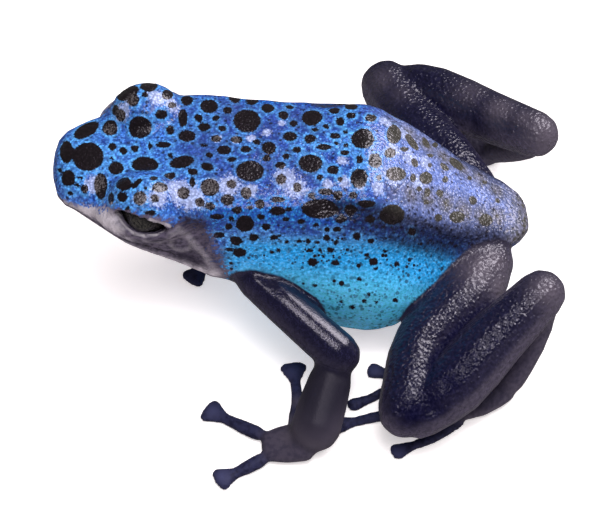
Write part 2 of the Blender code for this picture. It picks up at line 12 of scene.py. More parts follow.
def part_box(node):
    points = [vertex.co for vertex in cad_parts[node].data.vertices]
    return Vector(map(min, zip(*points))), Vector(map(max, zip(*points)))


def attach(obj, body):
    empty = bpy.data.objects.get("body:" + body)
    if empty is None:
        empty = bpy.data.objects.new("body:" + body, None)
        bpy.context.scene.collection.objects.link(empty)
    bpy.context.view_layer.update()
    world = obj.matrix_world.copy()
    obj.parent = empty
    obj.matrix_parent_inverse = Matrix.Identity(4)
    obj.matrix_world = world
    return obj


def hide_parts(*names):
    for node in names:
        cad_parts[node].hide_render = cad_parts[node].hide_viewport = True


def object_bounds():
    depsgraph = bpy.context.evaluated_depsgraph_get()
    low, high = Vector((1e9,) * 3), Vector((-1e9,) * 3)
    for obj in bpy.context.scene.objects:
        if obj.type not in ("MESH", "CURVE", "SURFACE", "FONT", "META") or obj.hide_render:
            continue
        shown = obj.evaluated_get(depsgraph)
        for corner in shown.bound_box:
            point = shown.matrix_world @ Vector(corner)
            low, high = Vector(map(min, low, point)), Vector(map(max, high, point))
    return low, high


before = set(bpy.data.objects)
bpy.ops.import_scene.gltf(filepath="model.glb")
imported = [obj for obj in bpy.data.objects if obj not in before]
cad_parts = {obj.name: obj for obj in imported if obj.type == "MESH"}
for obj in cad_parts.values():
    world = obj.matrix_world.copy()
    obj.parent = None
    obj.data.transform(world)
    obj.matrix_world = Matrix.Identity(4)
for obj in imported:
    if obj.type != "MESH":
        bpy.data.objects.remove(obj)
cad_low, cad_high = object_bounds()

# Camera. It stands where the photograph was taken, off the animal's left side and
# 52 degrees above the floor. Places on the animal are given in millimetres from the
# point on the floor under the middle of its back, and turned into metres here.
MM = 0.001
LEFT_EYE = Vector((4.85, -13.2, 14.6))
eye_low, eye_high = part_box("eye_left")
MIDDLE = (eye_low + eye_high) / 2 - LEFT_EYE * MM
CAMERA_ELEVATION = math.radians(52.0)
CAMERA_DISTANCE = 260.0
CAMERA_AIM = Vector((4.9, 0.0, 8.0))
PHOTO_SIZE = (612, 513)
PIXELS_PER_MM = 11.8
SENSOR_WIDTH = 36.0

backwards = Vector((math.cos(CAMERA_ELEVATION), 0.0, math.sin(CAMERA_ELEVATION)))
camera_data = bpy.data.cameras.new("camera")
camera_data.sensor_width = SENSOR_WIDTH
camera_data.lens = PIXELS_PER_MM * CAMERA_DISTANCE / PHOTO_SIZE[0] * SENSOR_WIDTH
camera_data.clip_start = 0.01
camera = bpy.data.objects.new("camera", camera_data)
camera.location = MIDDLE + (CAMERA_AIM + backwards * CAMERA_DISTANCE) * MM
camera.rotation_euler = (-backwards).to_track_quat("-Z", "Y").to_euler()
bpy.context.scene.collection.objects.link(camera)
bpy.context.scene.camera = camera


def sight_line(across, down):
    """The direction from the camera through a pixel of the photograph."""
    rightwards = Vector((0.0, 1.0, 0.0))
    upwards = backwards.cross(rightwards)
    focal = PIXELS_PER_MM * CAMERA_DISTANCE
    aside = rightwards * (across - PHOTO_SIZE[0] / 2) / focal
    above = upwards * (PHOTO_SIZE[1] / 2 - down) / focal
    return (aside + above - backwards).normalized()


# Skin. One thin, moist skin runs over head, trunk, limbs and digits without a seam. It
# is taken from the solids: each outer segment is drawn up to the one that carries it,
# all are fused, and the joints are smoothed until they read as living flesh.
GAP_REACH = 0.45
SINK = 0.14
NECK_FACE = 0.02
NECK_OVERLAP = 0.6
SKIN_GRAIN = 0.226
SAME_POINT = 0.0001
LEAST_DISTANCE = 0.01

# Rank of each segment, counted outwards. A segment is carried by one of lower rank.
RANKS = {"head": 0, "torso": 0, "upper_arm": 1, "thigh": 1, "forearm": 2, "shank": 2,
         "hand": 3, "tarsus": 3, "foot": 4, "finger": 5, "toe": 5}


def rank_of(name):
    return next(rank for start, rank in RANKS.items() if name.startswith(start))


def merged_copy(name):
    """A bmesh of a CAD node with its loose triangles joined."""
    bm = bmesh.new()
    bm.from_mesh(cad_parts[name].data)
    bmesh.ops.remove_doubles(bm, verts=bm.verts, dist=SAME_POINT * MM)
    return bm


flesh = sorted(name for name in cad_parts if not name.startswith("eye"))
segments = {name: merged_copy(name) for name in flesh}
trees = {name: BVHTree.FromBMesh(bm) for name, bm in segments.items()}
boxes = {name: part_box(name) for name in flesh}


def boxes_touch(first, second, reach):
    (low, high), (other_low, other_high) = boxes[first], boxes[second]
    return all(low[i] - reach < other_high[i] and other_low[i] - reach < high[i] for i in range(3))


for name, bm in segments.items():
    carriers = [other for other in flesh if rank_of(other) < rank_of(name)
                and boxes_touch(name, other, GAP_REACH * MM)]
    for vert in bm.verts:
        found = [trees[other].find_nearest(vert.co, GAP_REACH * MM) for other in carriers]
        found = [hit for hit in found if hit[0] is not None]
        if found:
            point, _, _, distance = min(found, key=lambda hit: hit[3])
            vert.co = point + (point - vert.co) * (SINK * MM / max(distance, LEAST_DISTANCE * MM))

neck_end = boxes["torso"][0].y
for vert in segments["torso"].verts:
    if vert.co.y < neck_end + NECK_FACE * MM:
        vert.co.y -= NECK_OVERLAP * MM

fused = bmesh.new()
owner = []
for name, bm in segments.items():
    part_mesh = bpy.data.meshes.new("segment")
    bm.to_mesh(part_mesh)
    fused.from_mesh(part_mesh)
    bpy.data.meshes.remove(part_mesh)
    owner += [rank_of(name)] * (len(fused.faces) - len(owner))
    bm.free()
solid_tree = BVHTree.FromBMesh(fused)
rough_mesh = bpy.data.meshes.new("rough_skin")
fused.to_mesh(rough_mesh)
fused.free()
rough = bpy.data.objects.new("rough_skin", rough_mesh)
bpy.context.scene.collection.objects.link(rough)


def modified_mesh(obj):
    """The object's mesh with its modifiers worked in."""
    graph = bpy.context.evaluated_depsgraph_get()
    return bpy.data.meshes.new_from_object(obj.evaluated_get(graph))


remesh = rough.modifiers.new("fuse", "REMESH")
remesh.mode = "VOXEL"
remesh.voxel_size = SKIN_GRAIN * MM
skin_mesh = modified_mesh(rough)
bpy.data.objects.remove(rough, do_unlink=True)

# Only the largest shell is kept, so walls of hollows shut in by the fusing are dropped.
bm = bmesh.new()
bm.from_mesh(skin_mesh)
unseen = set(bm.verts)
shells = []
while unseen:
    shell, waiting = set(), [unseen.pop()]
    while waiting:
        vert = waiting.pop()
        shell.add(vert)
        for edge in vert.link_edges:
            other = edge.other_vert(vert)
            if other in unseen:
                unseen.remove(other)
                waiting.append(other)
    shells.append(shell)
shells.sort(key=len)
for shell in shells[:-1]:
    bmesh.ops.delete(bm, geom=list(shell), context="VERTS")
bm.to_mesh(skin_mesh)
bm.free()


def coordinates(mesh):
    """All points of a mesh, in millimetres from the middle of the animal."""
    flat = np.empty(len(mesh.vertices) * 3)
    mesh.vertices.foreach_get("co", flat)
    return (flat.reshape(-1, 3) - np.array(MIDDLE)) / MM


def put_coordinates(mesh, points):
    mesh.vertices.foreach_set("co", (points * MM + np.array(MIDDLE)).ravel())
    mesh.update()


def edge_ends(mesh):
    flat = np.empty(len(mesh.edges) * 2, np.int32)
    mesh.edges.foreach_get("vertices", flat)
    return flat.reshape(-1, 2)


def neighbour_mean(values, ends):
    """The mean of each point's neighbours along the edges."""
    count = len(values)
    first, second = ends[:, 0], ends[:, 1]
    degree = np.bincount(first, minlength=count) + np.bincount(second, minlength=count)
    means = []
    for column in values.reshape(count, -1).T:
        total = np.bincount(first, column[second], count) + np.bincount(second, column[first], count)
        means.append(total / degree)
    return np.array(means).T.reshape(values.shape)


def spread(values, rounds):
    """A mask whose border is blurred over the skin."""
    for _ in range(rounds):
        values = neighbour_mean(values, ends)
    return values


def step_between(values, low, high):
    """0 below low, 1 above high, and a smooth rise between them."""
    part = np.clip((values - low) / (high - low), 0.0, 1.0)
    return part * part * (3.0 - 2.0 * part)


def fade_between(values, low, high):
    """1 below low, 0 above high, and a smooth fall between them."""
    return 1.0 - step_between(values, low, high)


def point_normals(mesh):
    flat = np.empty(len(mesh.vertices) * 3)
    mesh.vertex_normals.foreach_get("vector", flat)
    return flat.reshape(-1, 3)


points = coordinates(skin_mesh)
ends = edge_ends(skin_mesh)
start_normals = point_normals(skin_mesh)
ranks = np.array([owner[solid_tree.find_nearest(Vector(p) * MM + MIDDLE)[2]] for p in points])

# Joints, and the edges of the swellings over the eyes, each with the reach in mm in
# which the skin is drawn smooth. Hollows there fill up faster than swellings wear down,
# and the head keeps most of its form.
JOINTS = (
    ((5.6, -6.3, 9.3), 3.6), ((13.6, 2.6, 5.5), 2.4), ((19.1, 0.3, 1.6), 3.1),
    ((-4.9, -6.3, 9.3), 3.6), ((-11.0, 0.4, 5.6), 2.4), ((-6.3, -4.8, 1.6), 3.1),
    ((4.8, 14.6, 6.3), 3.8), ((18.8, 8.5, 4.6), 2.7), ((9.1, 19.9, 7.0), 2.4),
    ((13.3, 17.0, 1.6), 1.9), ((-4.8, 14.0, 6.3), 3.8), ((-16.8, 7.7, 4.7), 2.7),
    ((-9.1, 19.9, 7.0), 2.4), ((-12.3, 17.0, 1.6), 2.3),
    ((3.6, -16.6, 15.6), 1.8), ((3.6, -9.0, 16.0), 2.2), ((1.9, -13.0, 16.2), 2.2),
    ((-3.6, -16.6, 15.6), 1.8), ((-3.6, -9.0, 16.0), 2.2), ((-1.9, -13.0, 16.2), 2.2),
)
SMOOTHING = {0: 1.0, 1: 1.0, 2: 1.0, 3: 0.8, 4: 0.7, 5: 0.35}
NECK = (-9.5, -8.0)
HEAD_HOLD = 0.8
EASE_ROUNDS = 6
JOINT_CORE = 0.55
JOINT_ROUNDS = 36
JOINT_FILL = 0.55
JOINT_WEAR = 0.12
SMOOTH_ROUNDS = 22
SMOOTH_STEP = 0.55
SMOOTH_RETURN = 0.58
ease = np.array([SMOOTHING[rank] for rank in ranks])
head_hold = fade_between(points[:, 1], *NECK)
ease = spread(ease * (1.0 - HEAD_HOLD * head_hold * (ranks == 0)), EASE_ROUNDS)
joint_pull = np.zeros(len(points))
for place, reach in JOINTS:
    away = np.linalg.norm(points - np.array(place), axis=1)
    joint_pull = np.maximum(joint_pull, fade_between(away, reach * JOINT_CORE, reach))
for _ in range(JOINT_ROUNDS):
    pull = neighbour_mean(points, ends) - points
    outwards = (pull * start_normals).sum(axis=1) > 0.0
    points += pull * (joint_pull * np.where(outwards, JOINT_FILL, JOINT_WEAR))[:, None]
for _ in range(SMOOTH_ROUNDS):
    points += (neighbour_mean(points, ends) - points) * (ease * SMOOTH_STEP)[:, None]
    points -= (neighbour_mean(points, ends) - points) * (ease * SMOOTH_RETURN)[:, None]
put_coordinates(skin_mesh, points)

skin = bpy.data.objects.new("skin", skin_mesh)
bpy.context.scene.collection.objects.link(skin)


def surface_tree(obj):
    bm = bmesh.new()
    bm.from_mesh(obj.data)
    tree = BVHTree.FromBMesh(bm)
    bm.free()
    return tree


skin_tree = surface_tree(skin)


def seen_point(across, down):
    """Where a pixel of the photograph falls on the skin: place in mm, and the skin's normal."""
    place, normal, _, _ = skin_tree.ray_cast(camera.location, sight_line(across, down))
    if place is None:
        return None, None
    return (place - MIDDLE) / MM, normal


def distance_to_line(points, line):
    """How far each point lies from a line through the given places."""
    line = [np.array(place) for place in line]
    nearest = np.full(len(points), np.inf)
    for start, stop in zip(line, line[1:]):
        along = stop - start
        part = np.clip((points - start) @ along / (along @ along), 0.0, 1.0)
        nearest = np.minimum(nearest, np.linalg.norm(points - start - part[:, None] * along, axis=1))
    return nearest


def both_sides(line):
    return line, [(-x, y, z) for x, y, z in line]


# Folds and rims. The lids end in a thin pale rim, a soft fold runs back from the eye
# over the eardrum to the shoulder, a raised edge with a painted highlight follows the lip,
# and the side is drawn in under the ridge. Each line was read from the photograph, on the left side.
UPPER_LID = ((112, 203), (119, 215), (133, 216.5), (150, 219), (162, 222.5), (170, 226))
LOWER_LID = ((119, 219), (125, 227), (133, 233), (144, 236), (156, 235), (166, 230))
LID_FOLD = ((144, 240), (159, 242), (171, 236), (178, 228))
EAR_FOLD = ((172, 233), (181, 231), (189, 237), (196, 246), (205, 254), (210, 263), (216, 273))
LIP_EDGE = ((66, 203), (77, 207), (89, 212), (99, 218), (110, 224), (121, 230))
MOUTH_LINE = ((-21.35, 13.54), (-21.0, 13.54), (-20.6, 13.39), (-19.4, 13.19), (-18.5, 12.99),
              (-17.5, 12.71), (-16.4, 12.39), (-15.1, 12.06), (-13.8, 11.76), (-12.3, 11.41),
              (-10.9, 10.97))
EARDRUM = (7.09, -10.4, 12.54)
EARDRUM_RADIUS = 0.85
NOSTRIL = (1.75, -20.35, 15.0)
HOLLOW = ((322, 207), (345, 210), (372, 217), (400, 226), (425, 233), (450, 239), (475, 243),
          (495, 243))

# How high and how wide each raised line is, in mm, with grooves and hollows below 0.
LID_RIM = (0.10, 0.22)
LID_RIDGE = (0.08, 0.24)
EAR_RIDGE = (0.14, 0.42)
LIP_RIDGE = (0.08, 0.34)
MOUTH_GROOVE = (-0.12, 0.2)
DRUM_RIM = (0.07, 0.2)
DRUM_DIP = (-0.10, 0.6)
NOSTRIL_DIP = (-0.16, 0.3)
SIDE_HOLLOW = (-0.28, 0.75)

# Swellings of the body, and the distances in mm that say how the drawn lines fade.
SWELL = 0.14
SWELL_SCALE = 0.42
SWELL_START = (-11.0, -6.0)
MOUTH_FADE = 4.0
NOTHING_NEAR = 5.0
FAINTER_LID_FOLD = 0.1
FAINTER_DRUM_RIM = 0.15
NOSTRIL_HOLE = 0.2
SKIN_INSET = 0.005


def seen_line(pixels):
    places = [seen_point(*pixel)[0] for pixel in pixels]
    return [tuple(place) for place in places if place is not None]


def seen_distance(pixels):
    """How far each point lies from a line read in the photograph, on both sides."""
    return np.minimum(*[distance_to_line(points, line) for line in both_sides(seen_line(pixels))])


def hump(distance, width):
    return np.exp(-(distance / width) ** 2)


def raised(distance, height_and_width):
    height, width = height_and_width
    return height * hump(distance, width)


normals = point_normals(skin_mesh)
swell = np.array([wave.noise(Vector(point) * SWELL_SCALE) for point in points])
rims = np.minimum(seen_distance(UPPER_LID), seen_distance(LOWER_LID))
lid_fold = seen_distance(LID_FOLD)
ear_fold = seen_distance(EAR_FOLD)
lip = seen_distance(LIP_EDGE)
hollow_line = seen_distance(HOLLOW)
mouth_rows = np.array(MOUTH_LINE)
mouth_height = np.interp(points[:, 1], mouth_rows[:, 0], mouth_rows[:, 1])
past_corner = np.maximum(0.0, points[:, 1] - mouth_rows[-1, 0])
mouth = np.abs(points[:, 2] - mouth_height) + MOUTH_FADE * past_corner
mouth = np.where(points[:, 1] < NECK[0], mouth, NOTHING_NEAR)
relief = SWELL * swell * (ranks == 0) * step_between(points[:, 1], *SWELL_START)
relief += raised(hollow_line, SIDE_HOLLOW)
relief += raised(rims, LID_RIM) + raised(ear_fold, EAR_RIDGE) + raised(lid_fold, LID_RIDGE)
relief += raised(lip, LIP_RIDGE) + raised(mouth, MOUTH_GROOVE)
folds = np.minimum(ear_fold, lid_fold + FAINTER_LID_FOLD)
for sign in (1.0, -1.0):
    drum = np.linalg.norm(points - np.array((sign * EARDRUM[0], *EARDRUM[1:])), axis=1)
    relief += raised(drum - EARDRUM_RADIUS, DRUM_RIM) + raised(drum, DRUM_DIP)
    folds = np.minimum(folds, np.abs(drum - EARDRUM_RADIUS) + FAINTER_DRUM_RIM)
    nostril = np.linalg.norm(points - np.array((sign * NOSTRIL[0], *NOSTRIL[1:])), axis=1)
    relief += raised(nostril, NOSTRIL_DIP)
    mouth = np.minimum(mouth, np.maximum(nostril - NOSTRIL_HOLE, 0.0))
points += normals * relief[:, None]
box_low, box_high = [(np.array(corner) - np.array(MIDDLE)) / MM for corner in (cad_low, cad_high)]
points = np.clip(points, box_low + SKIN_INSET, box_high - SKIN_INSET)
put_coordinates(skin_mesh, points)

# Markings. Near-black spots lie on the blue back and head, small dots on the flanks.
# Each row is a spot as the photograph shows it: centre across and down, half width,
# half height, and turn in degrees, in pixels. The hidden far side repeats the near one.
SPOTS = (
    (88, 156, 15.5, 14.5), (66, 151, 6.5, 11.5), (102, 112, 6, 5), (149, 85, 8.5, 4.5),
    (168, 94, 5.5, 5), (110, 128, 7.5, 8), (140, 127.5, 11.5, 11), (68, 178, 7, 8),
    (116, 168, 7.5, 6.5), (145, 165, 13.5, 7.5), (101, 186, 6.5, 13), (122, 197, 5, 5),
    (140, 198, 6.5, 7), (160.5, 187, 8, 5), (187, 136, 9, 5.5), (209, 106, 9, 6.5),
    (183, 118, 4.5, 9), (247, 120.5, 13.5, 11.5), (250, 171, 14, 10), (210, 187, 9.5, 8.5),
    (204, 127, 6.5, 4), (224, 150, 7, 4.5), (246, 149.5, 5.4, 3.6), (269, 148, 7, 6),
    (312, 118, 10, 8), (310.5, 163, 12, 9), (290, 136, 7, 5), (268, 108, 6.5, 4.5),
    (245, 224, 9, 8), (227.5, 199.5, 6.5, 5.5), (246, 193, 5.5, 6), (260, 204, 4.8, 5),
    (236, 240.5, 6, 4.5), (254, 237, 5, 3.5), (240, 252.5, 6.5, 4.5), (237, 210, 5.4, 3.8),
    (210, 206, 5, 4), (277.5, 211, 8, 4.5), (320, 209, 18.5, 9.5), (363, 138, 11.5, 10),
    (359, 178, 8.5, 9.5), (375, 161, 6.5, 7.5), (333, 170, 6, 4.5), (324, 147, 7.5, 2.8),
    (310, 139, 5.8, 4.3), (335, 136, 5, 3), (340, 121.5, 4.5, 4), (351, 116, 5, 2.8),
    (334.5, 111, 5.5, 3), (351, 107, 6.3, 3.7), (394, 134, 7.5, 9.5), (396, 174, 10, 7),
    (426, 178, 6.5, 6), (390, 153, 5.5, 5), (473, 200, 4, 4.5), (457, 217, 7.5, 6),
    (486, 220, 7, 6), (440, 193, 3.6, 3.6), (393, 215, 12, 10), (312.5, 262, 5, 4.2),
    (335.5, 263, 4, 3), (374, 261.7, 4.3, 4), (397, 264, 2.5, 3), (357, 236, 4, 3.5),
    (326.7, 237.6, 3.4, 3), (337, 229, 4, 2.6), (330.5, 250, 3.3, 2.8), (308, 241, 2.9, 2.4),
    (370.8, 240.8, 3.2, 2.7), (235.3, 98.7, 5.4, 3), (252, 101, 6, 3),
    (227.6, 110, 4.5, 3.6), (289.6, 107, 3.8, 2.3), (283.5, 115.3, 5, 4.3),
    (326.4, 126.7, 3.4, 2.3), (293.5, 123, 4.3, 3), (315, 130, 3.8, 2), (345.5, 131.6, 2.8, 2.3),
    (222.3, 128.3, 4, 3.1), (256.7, 142, 3.8, 2.8), (236.8, 139.7, 6, 3.4),
    (296.5, 149.4, 4.6, 3), (336.3, 143.3, 2.3, 2), (346.3, 144.8, 2.8, 2),
    (344.8, 152, 4.6, 2.4), (266.7, 158.1, 4.6, 2.8), (286.6, 155.8, 3.8, 3),
    (231.5, 159.6, 4.6, 2.4), (280.5, 165, 5.4, 3.8), (359.6, 159, 3.4, 4.3),
    (319.8, 177.6, 3.4, 2.8), (340.2, 179.5, 2.8, 2.3), (378.4, 178.5, 2.8, 3),
    (281.2, 179.5, 5, 5.4), (297.3, 187.2, 4.3, 4.6), (231.5, 183.7, 5, 4.6),
    (311.8, 195.6, 3.8, 2.8), (325.6, 191.8, 6.9, 3.4), (338, 195, 4.6, 4.6),
    (353, 195, 4.3, 3.4), (278.2, 199.4, 6.9, 2.8), (249.8, 208, 3, 2.3), (289, 209.4, 3.8, 2.1),
    (260.6, 216.7, 3.8, 3), (350.4, 210.2, 6.4, 5.4), (366.9, 204, 8.4, 3.8),
    (341, 219.3, 5.4, 3.8), (371.5, 220, 4.6, 3.4), (228.6, 226.7, 3.9, 3),
    (266, 226.7, 4.3, 3.4), (285.8, 219.3, 3.4, 2.3), (301, 221.6, 3.8, 2.8),
    (316, 224.7, 2.8, 2.3), (327, 229, 3, 2.3), (274, 237.2, 4.3, 2.3), (286.6, 241.5, 2.3, 2),
    (298.8, 241.2, 2.3, 2), (317.2, 242.3, 2.3, 1.8), (336.3, 241.8, 3, 2),
    (272, 252.3, 2.8, 1.8), (278.2, 250.4, 2.2, 2), (310.3, 250, 3, 2.2), (320.3, 250, 2.2, 2),
    (315.7, 255.6, 2.2, 1.8), (324, 256, 2.2, 2), (366.9, 255.3, 2.5, 2.2), (385.3, 251, 2.2, 2),
    (359.3, 279, 2.3, 1.8), (364.6, 300.9, 2.5, 2.2), (395.3, 300, 3, 2), (368.5, 294, 2, 1.7),
    (341, 301, 2.2, 1.6), (376, 302, 1.8, 1.5), (352.4, 307.4, 3, 2.2), (315, 285.6, 2, 1.5),
    (144.9, 94.4, 3.4, 3), (132.8, 99.8, 6, 6), (172.3, 105.2, 4, 2.8), (187, 100.5, 6, 4.7),
    (191.8, 93.8, 4, 4), (232, 97.8, 3.4, 2), (120.7, 115.2, 4.7, 6), (115.4, 110, 3.4, 5.4),
    (161.6, 114.5, 6, 4.7), (170.3, 130, 3.8, 4.7), (198.5, 118, 4.3, 3.8), (216, 118, 3.8, 3),
    (163.6, 144.7, 7.4, 3), (112, 146.7, 3.8, 3.8), (123.4, 150.7, 3.8, 3.8),
    (134.8, 148.5, 4, 3.4), (150.2, 146, 2.1, 3.8), (216, 138.7, 5.4, 3.4), (203.8, 145, 4, 1.5),
    (170.3, 155.4, 2.5, 2.5), (209.2, 154.8, 3.8, 2.7), (193, 171.8, 5.4, 3.4),
    (169.7, 176.2, 6, 3), (154.2, 178, 4, 2.1), (145.5, 188.3, 1.8, 1.8), (80.5, 178, 2.4, 1.5),
    (77.2, 185, 2.1, 2.5), (84.5, 189, 3.4, 4.7), (70.5, 193.6, 3, 2.1), (59.7, 170.2, 2.1, 2.1),
    (110.7, 198.3, 3, 6), (111.4, 158, 2, 2), (155, 198.3, 4, 4), (183.7, 193, 6, 6),
    (192.5, 182.2, 3, 4.7), (127.4, 209.7, 2.5, 2.5), (150.2, 213, 5.4, 2.7),
    (199.8, 202.3, 4.7, 4.7), (216.6, 217, 6.7, 2.7), (231.3, 219, 2.7, 2.7),
    (219.3, 235.2, 6, 3), (229.3, 249.3, 4.7, 1.8), (370.8, 118.3, 5.7, 3.8),
    (380.4, 106.3, 5, 2.4), (435.3, 144.8, 2.8, 2.6), (430, 155.7, 3.8, 2),
    (404, 149.3, 4.5, 2.4), (430, 165.3, 2.1, 2.1), (445.5, 179.3, 2.8, 3.2),
    (413, 178, 2.8, 4.5), (419.3, 189, 2.8, 2.5), (427.6, 192, 2.8, 4.5), (427, 202, 2.8, 2.4),
    (469.7, 178, 2.5, 2.1), (484.4, 182.5, 2.5, 1.8), (497.8, 200.3, 2.5, 2.5),
    (439, 217.5, 3.8, 3.8), (413, 233, 3.8, 3.8),
)
TURNED_SPOTS = (
    (86, 130, 14, 6.5, -30), (127, 92, 11.5, 5.5, -30), (123, 183, 8, 6.5, -15),
    (137, 183, 8, 2.6, -45), (182, 162, 12.5, 6, -12), (412, 142, 3.5, 10, -35),
    (207.2, 166.8, 6.4, 3.8, 15), (425.7, 142.3, 2.8, 5.7, -30), (456, 164, 8.5, 4.5, 42),
    (414.8, 162.7, 3, 4.5, -30), (444.2, 167.2, 5, 2.6, 45),
)
SPOT_DEPTH = 1.6
SPOT_MARGIN = 2.5
NORMAL_REACH = 0.55
LEAST_TILT = 0.3
FAR_SIDE = 5.2
TURNED_AWAY = 0.1


def spot_frame(across, down, half_width, half_height, turn=0.0):
    """Centre of a spot on the skin, its two half axes and the normal, in mm."""
    place, normal = seen_point(across, down)
    if place is None:
        return None
    close = np.linalg.norm(points - np.array(place), axis=1) < NORMAL_REACH
    normal = Vector(normals[close].mean(axis=0)).normalized()
    turn = math.radians(turn)
    start = (camera.location - MIDDLE) / MM
    axes = []
    for reach, angle in ((half_width, turn), (half_height, turn + math.pi / 2)):
        sight = sight_line(across + reach * math.cos(angle), down + reach * math.sin(angle))
        tilt = sight.dot(normal)
        if abs(tilt) < LEAST_TILT:
            tilt = math.copysign(LEAST_TILT, tilt)
        hit = start + sight * ((place - start).dot(normal) / tilt)
        axis = hit - place
        axes.append(axis - normal * axis.dot(normal))
    return place, axes[0], axes[1], normal


spots = np.full(len(points), NOTHING_NEAR)


def add_spot(place, first, second, normal):
    """Takes a spot into the distance from the nearest spot's edge, negative inside it."""
    away = points - np.array(place)
    near = np.linalg.norm(away, axis=1) < max(first.length, second.length) + SPOT_MARGIN
    basis = np.array([first, second, normal * SPOT_DEPTH]).T
    inner = away[near] @ np.linalg.inv(basis).T
    size = math.sqrt(first.length * second.length)
    edge = (np.linalg.norm(inner, axis=1) - 1.0) * size
    spots[near] = np.minimum(spots[near], edge)


def mirrored(vector):
    return Vector((-vector.x, vector.y, vector.z))


to_camera = (camera.location - MIDDLE).normalized()
for row in SPOTS + TURNED_SPOTS:
    spot = spot_frame(*row)
    if spot is None:
        continue
    add_spot(*spot)
    far_normal = mirrored(spot[3])
    if spot[0].x > FAR_SIDE and far_normal.dot(to_camera) < TURNED_AWAY:
        add_spot(*[mirrored(item) for item in spot])

# Regions of colour, each from 0 to 1. Lines and places are pixels of the photograph. A
# place is a soft round patch: across, down, radius in mm, and its strength if not full.
FACE_EDGE = ((56, 190), (64, 199), (76, 204), (92, 206), (106, 206), (114, 206), (126, 210),
             (140, 213), (153, 216), (166, 220), (178, 220), (190, 219), (200, 222), (207, 230),
             (213, 240), (218, 252), (223, 262), (230, 271))
HOLLOW_LOWER = ((352, 222), (376, 229), (402, 240), (428, 248), (452, 252), (474, 251))
UNDER_EDGE = ((196, 207), (215, 204), (232, 201), (246, 194), (262, 192), (278, 196), (292, 202),
              (307, 196), (323, 188), (340, 186), (357, 189), (377, 194), (397, 201), (412, 207),
              (428, 214))
CREASE = ((497, 293), (493, 298), (474, 313), (458, 327), (446, 340), (436, 352), (428, 366))

# Patches of painted sheen on the back and over the rump, painted sheen on the limbs, matt
# folds of the legs, finger pads, painted sheen on lip and throat, and dull and dark places.
BACK_SHEEN_PLACES = (
    (131, 100, 0.7), (122, 112, 0.9), (157, 97, 0.9), (172, 104, 0.8), (110, 129, 0.6),
    (95, 184, 1.0), (139, 199, 0.6), (158, 198, 1.0), (178, 192, 1.4), (192, 198, 1.3),
    (210, 186, 0.9), (229, 185, 1.1), (250, 190, 0.7), (236, 140, 0.45), (251, 138, 0.45),
    (267, 132, 0.45), (282, 123, 0.4), (217, 139, 0.45), (284, 178, 1.1), (296, 188, 1.0),
    (328, 184, 0.5), (344, 182, 0.6), (360, 185, 0.5), (378, 188, 0.65), (343, 160, 0.5),
    (392, 176, 1.0), (394, 150, 0.8), (386, 122, 0.7), (410, 158, 0.9), (426, 164, 0.8),
    (404, 134, 0.8), (418, 182, 0.8),
)
RUMP_SHEEN_PLACES = ((392, 190, 1.2), (410, 194, 1.3), (428, 198, 1.3), (446, 204, 1.4), (464, 211, 1.4),
        (482, 217, 1.4), (498, 216, 1.3))
LIMB_SHEEN_PLACES = ((482, 268, 2.0), (496, 262, 1.8), (500, 285, 1.5), (550, 288, 1.7),
                    (546, 130, 2.2), (380, 80, 1.6, 0.5), (400, 92, 1.3, 0.3),
                    (470, 92, 1.6, 0.45), (500, 110, 1.5, 0.8), (525, 118, 1.2, 0.7),
                    (298, 402, 0.7, 0.7), (291, 420, 0.7, 0.7), (287, 436, 0.7, 0.6))
MATT = ((450, 382, 1.5, 0.9), (434, 402, 1.6, 0.9), (413, 416, 1.7, 1.0), (466, 362, 1.3, 0.6),
        (480, 122, 1.6, 0.9), (463, 118, 1.3, 0.6))
PADS = ((213, 411, 0.7), (221, 477, 0.7), (293, 371, 0.7), (376, 370, 0.6), (398, 450, 0.6))
FACE_SHEEN_PLACES = (
    (128, 239, 0.5, 0.5), (95, 211, 0.8), (104, 216, 0.8), (111, 220, 0.7), (87, 210, 0.8),
    (96, 216, 0.9), (104, 221, 0.9), (114, 229, 0.7), (186, 265, 0.6), (200, 270, 0.7),
    (213, 273, 0.6),
)
DULL = ((208, 150, 2.6), (232, 184, 2.2), (268, 132, 2.0), (300, 178, 1.6), (180, 112, 1.3))
DARK = ((188, 220, 0.8), (196, 222, 0.9), (202, 225, 0.8), (183, 255, 0.9), (190, 258, 1.0),
        (197, 262, 0.7), (190, 245, 0.5, 0.6), (205, 237, 0.8, 0.6), (223, 254, 0.8, 0.4))

# The ridge along the back: places counted backwards from the middle, and its heights.
RIDGE_PLACES = (-22.0, 2.0, 5.0, 7.5, 10.0, 12.5, 15.0, 17.0, 19.2)
RIDGE_HEIGHTS = (15.4, 15.4, 15.4, 14.5, 12.9, 10.9, 9.3, 8.3, 6.6)

# Stretches in mm over which a region comes in or fades out: along the body, counted
# backwards from the middle, then up from the floor, and then in depth below a line.
ARMS_END = 4.6
FEET_START = (4.0, 6.0)
FACE_END = (-6.9, -5.6)
SOFT_FACE_START = (-10.4, -9.2)
JAW_END = (-10.2, -9.2)
HEAD_END = (-10.5, -5.0)
FLANK_START = (-8.0, -5.0)
RUMP_START = (4.2, 9.5)
UNDER_START = (-9.6, -7.5)
UNDER_END = (7.0, 10.0)
REAR_START = (13.0, 17.5)
WRIST_TOP = (2.4, 4.8)
BELLY_TOP = (2.9, 4.9)
REAR_TOP = (7.6, 9.8)
SNOUT_TOP = (14.0, 14.4)
FACE_DEPTH = (-0.5, 0.65)
JAW_DEPTH = (0.1, 1.2)
RUMP_DEPTH = (0.2, 1.6)
FLANK_DEPTH = (0.8, 7.5)
UNDER_DEPTH = (-0.1, 0.3)
UNDER_LIMIT = (1.5, 2.7)

# The hollow under the ridge widens along its stretch, from the first reach to the second.
HOLLOW_STRETCH = (1.0, 16.0)
HOLLOW_REACH = (0.9, 1.7)
HOLLOW_CORE = 0.45
HOLLOW_RIM = 1.5
LOWER_HOLLOW_WIDTH = 0.9
LOWER_HOLLOW_SHARE = 0.85

